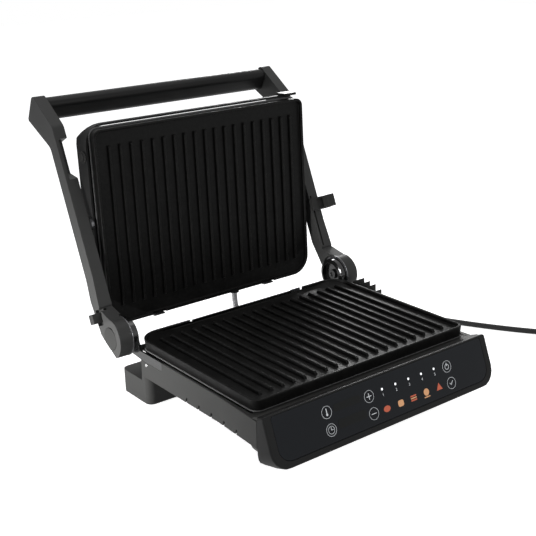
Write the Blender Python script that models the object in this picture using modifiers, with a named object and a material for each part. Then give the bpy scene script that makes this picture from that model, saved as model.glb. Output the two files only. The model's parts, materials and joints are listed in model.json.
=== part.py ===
"""Electric contact grill, opened a little past upright, built from separate pieces.

Axes: X to the right, Y to the rear, Z up. Every piece is laid out from the rim of the
lower cooking plate: X is zero in the middle, Y is zero at the plate's front edge and Z is
zero at the rim. One empty moves that layout to the origin under the middle of the grill.
"""
import math

import bmesh
import bpy
from mathutils import Matrix, Vector

# Clearances and tolerances
CLEARANCE = 0.0003
OVERRUN = 0.004
WELD = 0.00001

# Cooking plates
PLATE_WIDTH = 0.290
LOWER_DEPTH = 0.215
UPPER_DEPTH = 0.225
PLATE_CORNER = 0.009
PLATE_REAR_CORNER = 0.024
RIM_HEIGHT = 0.0125
RIM_WALL = 0.0032
PLATE_FLOOR = 0.0081
PLATE_RECESS = 0.0038
PLATE_RECESS_INSET = 0.0080
FLANGE_OVERHANG = 0.0022
FLANGE_THICKNESS = 0.0014
RIB_COUNT = 19
RIB_SIDE_MARGIN = 0.01738
RIB_FOOT_WIDTH = 0.0042
RIB_TOP_WIDTH = 0.0028
RIB_TOP_BELOW_RIM = 0.0009
RIB_FRONT_MARGIN = 0.0150
UPPER_RIB_FRONT_MARGIN = 0.0188
RIB_REAR_MARGIN = 0.020
RIB_TIP_SLOPE = 0.0015
HOOK_NOTCH_X = 0.0815
HOOK_NOTCH_WIDTH = 0.0185
HOOK_NOTCH_DROP = 0.0040
HOOK_NOTCH_DEPTH = 0.0065
DRAIN_NOTCH_WIDTH = 0.005
DRAIN_NOTCH_DROP = 0.0032
FACET_SIDE = 0.028
FACET_REAR = 0.048
FACET_SINK = 0.0015

# Base housing
SIDE_MARGIN = 0.006
BASE_WALL = 0.0025
BASE_FLOOR = 0.003
BASE_FRONT_Y = -0.013
FRONT_FLARE = 0.0038
FRONT_FLARE_REACH = 0.068
DECK_THICKNESS = 0.003
DECK_SIDE_INSET = 0.0012
DECK_FRONT_REACH = 0.017
DECK_REAR_REACH = 0.015
DECK_REAR_INSET = 0.0053
BASE_STEP_BACK = 0.015
BASE_BOTTOM_DROP = 0.0425
REAR_BODY_INSET = 0.039
REAR_BODY_REACH = 0.028
REAR_BODY_TOP_DROP = 0.020
REAR_BODY_BOTTOM_DROP = 0.064
FOOT_WIDTH = 0.043
FOOT_FRONT_BACK = 0.028
FOOT_REAR_REACH = 0.0295
FOOT_TOP_DROP = 0.0476
FOOT_BOTTOM_DROP = 0.0745
FOOT_CORNER = 0.008
VENT_FIRST_Y = 0.0245
VENT_PITCH = 0.0222
VENT_COUNT = 5
VENT_WIDTH = 0.0026
VENT_HEIGHT = 0.0065
VENT_LEAN = math.radians(24)
FLOOR_DROP = 0.0755
PAD_INSET = 0.006
PAD_SINK = 0.0016
FRONT_FOOT_INSET = 0.059
FRONT_FOOT_Y = 0.014
FRONT_FOOT_RADIUS = 0.0095
FRONT_FOOT_TOP_RADIUS = 0.0120

# Bottom cover with its front beam
COVER_THICKNESS = 0.0018
COVER_INSET = 0.004
BEAM_REAR_Y = 0.001
BEAM_DROP = 0.0568
BEAM_ROUNDING = 0.0200
ROUNDING_STEPS = 5
BEAM_SIDE_INSET = -0.0024

# Fascia and touch panel
PANEL_TILT = math.radians(20.9)
PANEL_TOP_Y = -0.0217
PANEL_TOP_DROP = 0.0057
PANEL_LENGTH = 0.0555
FASCIA_DEPTH = 0.040
FASCIA_BOTTOM_DROP = 0.0572
FASCIA_FRONT_WALL = 0.0044
FASCIA_WALL = 0.003
FASCIA_EDGE = 0.0022
FASCIA_TOP_CORNER = 0.003
FASCIA_BOTTOM_CORNER = 0.020
GLASS_SIDE_MARGIN = 0.0093
GLASS_TOP_MARGIN = 0.0022
GLASS_BOTTOM_MARGIN = 0.0072
GLASS_CORNER = 0.0145
GLASS_THICKNESS = 0.0020
BOARD_THICKNESS = 0.0016
BOARD_INSET = 0.031
BOARD_MARGIN = 0.006
WINDOW_X = -0.041
WINDOW_WIDTH = 0.054
WINDOW_HEIGHT = 0.026
WINDOW_RISE = -0.0280
DISPLAY_RELIEF = 0.0006

# Hinge
HINGE_REACH = 0.0098
HINGE_DROP = 0.0009
EAR_UNDERCUT = 0.0023
EAR_INSET = 0.0045
EAR_WIDTH = 0.0094
EAR_CHAMFER = 0.0036
EAR_CHAMFER_LENGTH = 0.0020
EAR_CUP_RIM = 0.0048
EAR_CUP_DEPTH = 0.0058
TONGUE_FRONT_BACK = 0.058
TONGUE_BOTTOM_DROP = 0.0226
RING_PROUD = 0.0003
RING_THICKNESS = 0.0011
SCREW_RADIUS = 0.0031
SCREW_HEAD_RADIUS = 0.0060
SCREW_HEAD_HEIGHT = 0.0028
SCREW_SOCKET_RADIUS = 0.0030
SCREW_SOCKET_DEPTH = 0.0014
BRACKET_SCREW_RADIUS = 0.0019
BRACKET_SCREW_BACK = 0.0254
BRACKET_SCREW_DROP = 0.0266
BRACKET_SCREW_LENGTH = 0.0020

# Lid arms, in a frame that runs from the hinge (s) and square to the arm (h)
OPEN_ANGLE = math.radians(112.94)
ARM_GAP = 0.0038
ARM_WIDTH = 0.0146
ARM_FRONT_H = 0.01125
ARM_REAR_H = 0.0291
BARREL_RADIUS = 0.0221
BARREL_FLARE = 0.0042
FLARE_LENGTH = 0.070
BARREL_RECESS = 0.0018
BARREL_FLAT_CUT = 0.0109
BARREL_FLAT_TURN = math.radians(127)
NECK_FRONT_S = 0.036
NECK_REAR_S = 0.045
NECK_WAIST_S = 0.027
NECK_WAIST_H = 0.0245
BEND_FRONT_REACH = 0.017
BEND_REAR_BACK = 0.0023
TIP_FRONT_REACH = 0.0626
TIP_FRONT_H = 0.0399
TIP_REAR_REACH = 0.0398
TIP_REAR_H = 0.0661
TIP_ROUNDING = 0.003
TIP_FRONT_ROUNDING = 0.0055
BEND_ROUNDING = 0.012
SCOOP_LOW_BACK = 0.0435
SCOOP_HIGH_REACH = 0.0040
SCOOP_DEPTH_H = 0.0262
SCOOP_RAMP = 0.0090
SCOOP_SKIN = 0.0040
CAP_RADIUS = 0.0130
CAP_THICKNESS = 0.0014
CAP_PROUD = 0.0002
HANDLE_THICKNESS = 0.0170
HANDLE_WIDTH = 0.0270
HANDLE_ROUNDING = 0.0078
HANDLE_SETBACK = 0.0090
HANDLE_FORWARD = 0.00145
HANDLE_SPIGOT_SHARE = 0.6
HANDLE_SPIGOT_DEPTH = 0.006

# Floating pivot and upper housing
CARRIER_ANGLE = math.radians(92.58)
PIVOT_S = 0.129
PIVOT_H = 0.016
PIVOT_RADIUS = 0.0040
PIVOT_COLLAR_RADIUS = 0.0075
PIVOT_DEPTH = 0.0070
PIVOT_BEHIND_RIM = 0.0171
PIVOT_FROM_HINGE_END = 0.1193
HOUSING_SIDE_MARGIN = 0.0055
HOUSING_FRONT_OVERHANG = 0.0045
HOUSING_REAR_OVERHANG = 0.0030
HOUSING_NEAR_DEPTH = 0.0128
HOUSING_FAR_DEPTH = 0.0345
HOUSING_BACK = 0.0040
HOUSING_CORNER = 0.022
HOUSING_REAR_CORNER = 0.031
HOUSING_WALL = 0.0025
HOUSING_BACK_CHAMFER = 0.0150
BOSS_RADIUS = 0.0048
BOSS_COLLAR_RADIUS = 0.0068
BOSS_FROM_FRONT = 0.0307
BOSS_RISE = 0.0030
BOSS_LENGTH = 0.0035
LATCH_INSET = 0.0155
LATCH_WIDTH = 0.0180
LATCH_SINK = 0.0010
LATCH_DROP = 0.0185
LATCH_LENGTH = 0.0030

# Heating gear
REFLECTOR_MARGIN = 0.007
REFLECTOR_REAR_MARGIN = 0.019
REFLECTOR_SHEET = 0.0008
REFLECTOR_RISE = 0.0125
ELEMENT_RADIUS = 0.0033
ELEMENT_INSET = 0.037
ELEMENT_FRONT_MARGIN = 0.045
ELEMENT_REAR_MARGIN = 0.050
ELEMENT_BEND = 0.030
SADDLE_WIDTH = 0.010
THERMOSTAT_RADIUS = 0.0075
THERMOSTAT_HEIGHT = 0.0050
POST_RADIUS = 0.005
POST_INSET = 0.023
POST_MARGIN = 0.034

# Hooks for the plates
HOOK_WIDTH = 0.0145
HOOK_SHEET = 0.0016
HOOK_TOP_DROP = 0.0016

# Height clip and rack
CLIP_FREE_S = 0.0922
CLIP_LENGTH = 0.0162
CLIP_INNER_STEP = 0.0015
CLIP_REACH = 0.0131
CLIP_PLATE_H = 0.0055
CLIP_BLOCK_GAP = 0.0026
CLIP_BLOCK_FRONT_H = -0.0050
CLIP_BLOCK_REAR_H = 0.0160
CLIP_RECESS_INSET = 0.0067
CLIP_RECESS_DEPTH = 0.0022
GROOVE_INSET = 0.0032
GROOVE_WIDTH = 0.0020
GROOVE_DEPTH = 0.0038
GROOVE_LOW_S = 0.0385
GROOVE_HIGH_S = 0.1040
RACK_WIDTH = 0.0190
RACK_FIRST_BACK = 0.0187
RACK_STEP_Y = 0.0103
RACK_STEP_SHARES = (0.0, 0.165, 0.306, 0.765)
RACK_TOOTH_HEIGHT = 0.0085
RACK_TOP_RISE = 0.0009
RACK_BODY_DROP = 0.0190

# Lock button at the outside of the left hinge
LOCK_S = 0.0255
LOCK_H = 0.0150
LOCK_LENGTH = 0.0110
LOCK_WIDTH = 0.0090
LOCK_SLOT_LENGTH = 0.0180
LOCK_SLOT_WIDTH = 0.0125
LOCK_REACH = 0.0089
LOCK_ROOT_DEPTH = 0.0050
LOCK_TRAVEL = 0.003

# Wiring
CONDUIT_X = 0.0430
CONDUIT_RADIUS = 0.0034
CONDUIT_EXIT_DROP = 0.0520
BOOT_RADIUS = 0.0062
BOOT_TIP_RADIUS = 0.0046
BOOT_LENGTH = 0.0110
SOCKET_RADIUS = 0.0058
SOCKET_LENGTH = 0.0060
TERMINAL_SIZE = (0.036, 0.016, 0.014)
TERMINAL_INSET = 0.042

# Cord, coil and plug
CORD_RADIUS = 0.0035
CORD_EXIT_INSET = 0.017
CORD_EXIT_DROP = 0.048
GLAND_ROOT_RADIUS = 0.0085
GLAND_TIP_RADIUS = 0.0050
GLAND_LENGTH = 0.026
GLAND_FLANGE = 0.0025
CORD_ROUTE = (
    (0.0955, 0.2860, -0.0520),
    (0.1010, 0.3040, -0.0600),
    (0.1150, 0.3200, -0.0690),
    (0.1400, 0.3270, -0.0717),
    (0.1750, 0.3160, -0.0717),
    (0.2080, 0.2800, -0.0717),
    (0.2350, 0.2260, -0.0717),
    (0.2600, 0.1710, -0.0717),
    (0.2840, 0.1200, -0.0717),
    (0.3110, 0.0720, -0.0717),
    (0.3400, 0.0300, -0.0717),
    (0.3680, 0.0020, -0.0717),
)
CORD_POINT_SPACING = 0.0130
COIL_RADIUS = 0.0400
COIL_TURNS = 2
COIL_POINTS = 24
COIL_TAIL = 0.045
PLUG_RADIUS = 0.0190
PLUG_LENGTH = 0.034
PLUG_NECK_LENGTH = 0.016
PLUG_NECK_RADIUS = 0.0075
PLUG_PIN_RADIUS = 0.0024
PLUG_PIN_LENGTH = 0.019
PLUG_PIN_SPREAD = 0.0095

# Round piece facets
ROUND_SEGMENTS = 48
SMALL_SEGMENTS = 24

# Sizes that follow from the ones above
HALF_PLATE = PLATE_WIDTH / 2
RIB_PITCH = (PLATE_WIDTH - RIB_SIDE_MARGIN * 2) / (RIB_COUNT - 1)
SIDE_X = HALF_PLATE + SIDE_MARGIN
FRONT_X = SIDE_X + FRONT_FLARE
BASE_TOP_DROP = RIM_HEIGHT + CLEARANCE
BASE_STEP_Y = LOWER_DEPTH - BASE_STEP_BACK
REAR_BODY_X = SIDE_X - REAR_BODY_INSET
REAR_BODY_Y = LOWER_DEPTH + REAR_BODY_REACH
FOOT_INNER_X = SIDE_X - FOOT_WIDTH
FOOT_FRONT_Y = LOWER_DEPTH - FOOT_FRONT_BACK
FOOT_REAR_Y = LOWER_DEPTH + FOOT_REAR_REACH
FRONT_FOOT_X = SIDE_X - FRONT_FOOT_INSET
BOARD_HALF_WIDTH = SIDE_X - BOARD_INSET
HINGE_Y = LOWER_DEPTH + HINGE_REACH
HINGE_Z = -HINGE_DROP
EAR_INNER_X = SIDE_X - EAR_INSET
EAR_OUTER_X = EAR_INNER_X + EAR_WIDTH
EAR_RADIUS = BARREL_RADIUS - EAR_UNDERCUT
EAR_CUP_RADIUS = EAR_RADIUS - EAR_CUP_RIM
RING_RADIUS = BARREL_RADIUS + RING_PROUD
BARREL_FLAT = BARREL_RADIUS - BARREL_FLAT_CUT
TONGUE_FRONT_Y = LOWER_DEPTH - TONGUE_FRONT_BACK
BRACKET_SCREW_Y = LOWER_DEPTH - BRACKET_SCREW_BACK
HOUSING_SIDE_X = HALF_PLATE + HOUSING_SIDE_MARGIN
ARM_INNER_X = HOUSING_SIDE_X + ARM_GAP
ARM_OUTER_X = ARM_INNER_X + ARM_WIDTH
BARREL_INNER_X = EAR_OUTER_X + RING_THICKNESS + CLEARANCE
BARREL_OUTER_X = ARM_OUTER_X + BARREL_FLARE
BEND_FRONT_S = UPPER_DEPTH + BEND_FRONT_REACH
BEND_REAR_S = UPPER_DEPTH - BEND_REAR_BACK
TIP_FRONT_S = UPPER_DEPTH + TIP_FRONT_REACH
TIP_REAR_S = UPPER_DEPTH + TIP_REAR_REACH
SCOOP_LOW_S = UPPER_DEPTH - SCOOP_LOW_BACK
SCOOP_HIGH_S = UPPER_DEPTH + SCOOP_HIGH_REACH
PIVOT_FROM_FRONT = UPPER_DEPTH - PIVOT_FROM_HINGE_END
ELEMENT_X = HALF_PLATE - ELEMENT_INSET
POST_X = HALF_PLATE - POST_INSET
LATCH_X = HALF_PLATE - LATCH_INSET
CLIP_INNER_X = ARM_INNER_X - CLIP_INNER_STEP
CLIP_OUTER_X = ARM_OUTER_X + CLIP_REACH
CLIP_BLOCK_INNER_X = ARM_OUTER_X + CLIP_BLOCK_GAP
CLIP_RECESS_INNER_X = ARM_INNER_X + CLIP_RECESS_INSET
GROOVE_X = ARM_INNER_X + GROOVE_INSET
RACK_OUTER_X = SIDE_X + RACK_WIDTH
RACK_FIRST_Y = LOWER_DEPTH - RACK_FIRST_BACK
LOCK_OUTER_X = BARREL_OUTER_X + LOCK_REACH
TERMINAL_X = REAR_BODY_X - TERMINAL_INSET
CORD_EXIT_X = REAR_BODY_X - CORD_EXIT_INSET
FLOOR_Z = -FLOOR_DROP


# Scene helpers

def clear_scene():
    for item in list(bpy.data.objects):
        bpy.data.objects.remove(item, do_unlink=True)


def new_collection(name):
    group = bpy.data.collections.new(name)
    bpy.context.scene.collection.children.link(group)
    return group


clear_scene()
PARTS = new_collection("contact_grill")
CUTTERS = new_collection("cutters")
GUIDES = new_collection("guides")


def make_material(name, colour, roughness, metallic=0.0):
    surface = bpy.data.materials.new(name)
    surface.use_nodes = True
    shader = surface.node_tree.nodes["Principled BSDF"]
    shader.inputs["Base Color"].default_value = (*colour, 1.0)
    shader.inputs["Roughness"].default_value = roughness
    shader.inputs["Metallic"].default_value = metallic
    return surface


CHARCOAL = make_material("charcoal_plastic", (0.028, 0.028, 0.027), 0.42)
BLACK = make_material("black_plastic", (0.012, 0.012, 0.012), 0.35)
NON_STICK = make_material("non_stick_coating", (0.008, 0.008, 0.007), 0.38)
GLASS = make_material("panel_glass", (0.008, 0.011, 0.014), 0.08)
STEEL = make_material("bright_steel", (0.62, 0.62, 0.62), 0.22, 1.0)
TIN = make_material("tinned_sheet", (0.45, 0.45, 0.46), 0.35, 1.0)
RUBBER = make_material("black_rubber", (0.02, 0.02, 0.02), 0.8)
BOARD = make_material("circuit_board", (0.02, 0.12, 0.05), 0.5)
CORD_SKIN = make_material("cord_sleeve", (0.015, 0.015, 0.015), 0.5)


def add_guide(name, location, rotation=(0, 0, 0), parent=None):
    guide = bpy.data.objects.new(name, None)
    guide.empty_display_size = POST_RADIUS
    guide.location = location
    guide.rotation_euler = rotation
    guide.parent = parent
    GUIDES.objects.link(guide)
    return guide


# Four frames: the whole grill, the panel, the lid arms and the floating upper housing
GRILL = add_guide("grill_frame", (0, 0, FLOOR_DROP))
PANEL = add_guide("panel_frame", (0, PANEL_TOP_Y, -PANEL_TOP_DROP), (math.pi / 2 - PANEL_TILT, 0, 0), GRILL)
LID = add_guide("lid_hinge", (0, HINGE_Y, HINGE_Z), (-OPEN_ANGLE, 0, 0), GRILL)
CARRIER = add_guide(
    "floating_pivot", (0, -PIVOT_S, PIVOT_H), (OPEN_ANGLE - CARRIER_ANGLE, 0, 0), LID)


def add_object(name, mesh, surface, parent, offset=(0, 0, 0), group=None):
    item = bpy.data.objects.new(name, mesh)
    item.location = offset
    item.parent = parent
    (group or PARTS).objects.link(item)
    if surface:
        mesh.materials.append(surface)
    mesh.shade_smooth()
    mesh.set_sharp_from_angle(angle=math.radians(32))
    return item


def hide_cutter(item):
    item.hide_render = True
    item.display_type = "WIRE"


def boolean(target, operand, operation):
    change = target.modifiers.new(operation.lower(), "BOOLEAN")
    change.operation = operation
    change.object = operand
    change.solver = "EXACT"


def cut(target, mesh, offset=(0, 0, 0), parent=None):
    cutter = add_object(target.name + "_cutter", mesh, None, parent or target.parent, offset, CUTTERS)
    hide_cutter(cutter)
    boolean(target, cutter, "DIFFERENCE")


def join(target, mesh, offset=(0, 0, 0), parent=None):
    operand = add_object(target.name + "_joined", mesh, None, parent or target.parent, offset, CUTTERS)
    hide_cutter(operand)
    boolean(target, operand, "UNION")


def bevel(item, width, segments=2, angle=50):
    edge = item.modifiers.new("bevel", "BEVEL")
    edge.width = width
    edge.segments = segments
    edge.limit_method = "ANGLE"
    edge.angle_limit = math.radians(angle)


# Mesh helpers

def finish_mesh(name, shape):
    bmesh.ops.recalc_face_normals(shape, faces=shape.faces)
    mesh = bpy.data.meshes.new(name)
    shape.to_mesh(mesh)
    shape.free()
    return mesh


def box(low, high):
    shape = bmesh.new()
    bmesh.ops.create_cube(shape, size=1)
    size = [b - a for a, b in zip(low, high)]
    middle = [(a + b) / 2 for a, b in zip(low, high)]
    bmesh.ops.scale(shape, vec=size, verts=shape.verts)
    bmesh.ops.translate(shape, vec=middle, verts=shape.verts)
    return finish_mesh("box", shape)


def boxes(corner_pairs):
    shape = bmesh.new()
    for low, high in corner_pairs:
        made = bmesh.ops.create_cube(shape, size=1)["verts"]
        bmesh.ops.scale(shape, vec=[b - a for a, b in zip(low, high)], verts=made)
        bmesh.ops.translate(shape, vec=[(a + b) / 2 for a, b in zip(low, high)], verts=made)
    return finish_mesh("boxes", shape)


AXIS_TURN = {
    "X": Matrix.Rotation(math.pi / 2, 4, "Y"),
    "Y": Matrix.Rotation(-math.pi / 2, 4, "X"),
    "Z": Matrix.Identity(4),
}


def cylinder(axis, radius, start, end, across=(0, 0), end_radius=None, segments=ROUND_SEGMENTS):
    """A cylinder or cone from start to end along an axis; across gives the other two places."""
    shape = bmesh.new()
    bmesh.ops.create_cone(
        shape, cap_ends=True, segments=segments, radius1=radius,
        radius2=radius if end_radius is None else end_radius, depth=end - start)
    middle = (start + end) / 2
    places = {"X": (middle, *across), "Y": (across[0], middle, across[1]), "Z": (*across, middle)}
    bmesh.ops.transform(
        shape, matrix=Matrix.Translation(places[axis]) @ AXIS_TURN[axis], verts=shape.verts)
    return finish_mesh("cylinder", shape)


def arc(centre, radius, start, end, steps):
    points = []
    for step in range(steps + 1):
        angle = start + (end - start) * step / steps
        points.append((centre[0] + radius * math.cos(angle), centre[1] + radius * math.sin(angle)))
    return points


def rounded_polygon(corners, steps=5):
    """Corners are (a, b, radius); each corner with a radius becomes an arc."""
    points = []
    for index, (a, b, radius) in enumerate(corners):
        if radius <= 0:
            points.append((a, b))
            continue
        here = Vector((a, b))
        before = (Vector(corners[index - 1][:2]) - here).normalized()
        after = (Vector(corners[(index + 1) % len(corners)][:2]) - here).normalized()
        half = before.angle(after) / 2
        reach = radius / math.tan(half)
        centre = here + (before + after).normalized() * radius / math.sin(half)
        first = here + before * reach - centre
        last = here + after * reach - centre
        turn = first.angle_signed(last)
        for step in range(steps + 1):
            angle = -turn * step / steps
            spun = Matrix.Rotation(angle, 2) @ first
            points.append(tuple(centre + spun))
    return points


def outline_shape(points, start, end):
    """A flat outline in the XY plane made solid from start to end along Z."""
    flat = bpy.data.curves.new("outline", "CURVE")
    flat.dimensions = "2D"
    flat.fill_mode = "BOTH"
    flat.extrude = (end - start) / 2
    line = flat.splines.new("POLY")
    line.points.add(len(points) - 1)
    for point, (a, b) in zip(line.points, points):
        point.co = (a, b, 0, 1)
    line.use_cyclic_u = True
    holder = bpy.data.objects.new("outline", flat)
    GUIDES.objects.link(holder)
    bpy.context.view_layer.update()
    ready = holder.evaluated_get(bpy.context.evaluated_depsgraph_get())
    mesh = bpy.data.meshes.new_from_object(ready)
    shape = bmesh.new()
    shape.from_mesh(mesh)
    bmesh.ops.remove_doubles(shape, verts=shape.verts, dist=WELD)
    bmesh.ops.dissolve_limit(shape, angle_limit=math.radians(1), verts=shape.verts, edges=shape.edges)
    bmesh.ops.translate(shape, vec=(0, 0, (start + end) / 2), verts=shape.verts)
    bpy.data.objects.remove(holder)
    bpy.data.meshes.remove(mesh)
    return shape


def outline(points, start, end):
    return finish_mesh("outline", outline_shape(points, start, end))


# A profile drawn as (Y, Z) that runs along X
SIDE_VIEW = Matrix(((0, 0, 1, 0), (1, 0, 0, 0), (0, 1, 0, 0), (0, 0, 0, 1)))


def side_outline(points, start, end):
    shape = outline_shape(points, start, end)
    bmesh.ops.transform(shape, matrix=SIDE_VIEW, verts=shape.verts)
    return finish_mesh("side_outline", shape)


def tube(name, points, radius, surface, parent, resolution=2, offset=(0, 0, 0)):
    path = bpy.data.curves.new(name, "CURVE")
    path.dimensions = "3D"
    path.bevel_depth = radius
    path.bevel_resolution = resolution
    path.use_fill_caps = True
    line = path.splines.new("POLY")
    line.points.add(len(points) - 1)
    for point, place in zip(line.points, points):
        point.co = (*place, 1)
    item = bpy.data.objects.new(name, path)
    item.location = offset
    item.parent = parent
    path.materials.append(surface)
    PARTS.objects.link(item)
    return item


def mirrored(low, high, side):
    """A box given for the right side, or its mirror image on the left."""
    if side > 0:
        return box(low, high)
    return box((-high[0], low[1], low[2]), (-low[0], high[1], high[2]))


def side_cylinder(side, radius, start, end, across, end_radius=None, segments=ROUND_SEGMENTS):
    """A cylinder along X for the right side, or its mirror image on the left."""
    if side > 0:
        return cylinder("X", radius, start, end, across, end_radius, segments)
    inner = radius if end_radius is None else end_radius
    return cylinder("X", inner, -end, -start, across, radius, segments)


def side_prism(side, points, start, end):
    if side > 0:
        return side_outline(points, start, end)
    return side_outline(points, -end, -start)


SIDES = (("left", -1), ("right", 1))


def post_places(depth):
    """Posts in the base and in the upper housing carry the reflector trays."""
    return [(side * POST_X, y) for _, side in SIDES for y in (POST_MARGIN, depth - POST_MARGIN)]


def tray_underside():
    return -RIM_HEIGHT - CLEARANCE - REFLECTOR_RISE


# Cooking plates

def plate_outline(depth, grow):
    half = HALF_PLATE + grow
    front = PLATE_CORNER + grow
    rear = PLATE_REAR_CORNER + grow
    return rounded_polygon((
        (-half, -grow, front), (half, -grow, front),
        (half, depth + grow, rear), (-half, depth + grow, rear)))


def rib_mesh(depth, first):
    """All ribs of one plate: bars with sloped sides and sloped ends."""
    shape = bmesh.new()
    top = -RIB_TOP_BELOW_RIM
    bottom = (PLATE_FLOOR + PLATE_RECESS) / 2 - RIM_HEIGHT
    last = depth - RIB_REAR_MARGIN
    for index in range(RIB_COUNT):
        middle = (index - (RIB_COUNT - 1) / 2) * RIB_PITCH
        made = bmesh.ops.create_cube(shape, size=1)["verts"]
        for corner in made:
            upper = corner.co.z > 0
            half = (RIB_TOP_WIDTH if upper else RIB_FOOT_WIDTH) / 2
            slope = RIB_TIP_SLOPE if upper else 0
            rear = corner.co.y > 0
            corner.co.x = middle + math.copysign(half, corner.co.x)
            corner.co.y = last - slope if rear else first + slope
            corner.co.z = top if upper else bottom
    return finish_mesh("ribs", shape)


def facet_mesh(depth, side):
    """The sloping triangular facet in a rear corner of the plate."""
    inner = HALF_PLATE - RIM_WALL / 2
    rear = depth - RIM_WALL / 2
    floor = (PLATE_FLOOR + PLATE_RECESS) / 2 - RIM_HEIGHT
    top = -FACET_SINK
    shape = bmesh.new()
    corner = (side * inner, rear)
    along_side = (side * inner, rear - FACET_SIDE)
    along_rear = (side * (inner - FACET_REAR), rear)
    low = [shape.verts.new((*place, floor)) for place in (corner, along_side, along_rear)]
    high = shape.verts.new((*corner, top))
    bmesh.ops.convex_hull(shape, input=low + [high])
    return finish_mesh("facet", shape)


def make_plate(name, depth, rib_margin, parent, offset=(0, 0, 0), turn=(0, 0, 0)):
    plate = add_object(name, outline(plate_outline(depth, 0), -RIM_HEIGHT, 0), NON_STICK, parent, offset)
    plate.rotation_euler = turn
    frame = plate_frame(name, parent, offset, turn)
    bevel(plate, RIM_WALL / 4, 2)
    flange = outline(plate_outline(depth, FLANGE_OVERHANG), -RIM_HEIGHT, FLANGE_THICKNESS - RIM_HEIGHT)
    join(plate, flange, parent=frame)
    pocket = outline(plate_outline(depth, -RIM_WALL), PLATE_FLOOR - RIM_HEIGHT, OVERRUN)
    cut(plate, pocket, parent=frame)
    recess = outline(
        plate_outline(depth, -PLATE_RECESS_INSET), -RIM_HEIGHT - OVERRUN, PLATE_RECESS - RIM_HEIGHT)
    cut(plate, recess, parent=frame)
    for _, side in SIDES:
        join(plate, facet_mesh(depth, side), parent=frame)
    join(plate, rib_mesh(depth, rib_margin), parent=frame)
    half = HOOK_NOTCH_WIDTH / 2
    reach = depth + FLANGE_OVERHANG + OVERRUN
    notches = [
        ((side * HOOK_NOTCH_X - half, depth - HOOK_NOTCH_DEPTH, -HOOK_NOTCH_DROP),
         (side * HOOK_NOTCH_X + half, reach, OVERRUN)) for _, side in SIDES]
    low_half = DRAIN_NOTCH_WIDTH / 2
    notches.append(((-low_half, depth - RIM_WALL - OVERRUN, -DRAIN_NOTCH_DROP), (low_half, reach, OVERRUN)))
    cut(plate, boxes(notches), parent=frame)
    cut(plate, boxes([
        ((side * HOOK_NOTCH_X - half, depth + CLEARANCE, -RIM_HEIGHT - OVERRUN),
         (side * HOOK_NOTCH_X + half, reach, OVERRUN)) for _, side in SIDES]), parent=frame)
    return plate


def plate_frame(name, parent, offset, turn):
    return add_guide(name + "_frame", offset, turn, parent)


make_plate("lower_plate", LOWER_DEPTH, RIB_FRONT_MARGIN, GRILL)

# The upper plate lies in the floating frame, face down when the grill is closed
UPPER_TURN = (0, math.pi, 0)
UPPER_PLACE = (0, -PIVOT_FROM_FRONT, -PIVOT_BEHIND_RIM)
UPPER = add_guide("upper_frame", UPPER_PLACE, UPPER_TURN, CARRIER)
make_plate("upper_plate", UPPER_DEPTH, UPPER_RIB_FRONT_MARGIN, UPPER)


# Base housing

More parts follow.
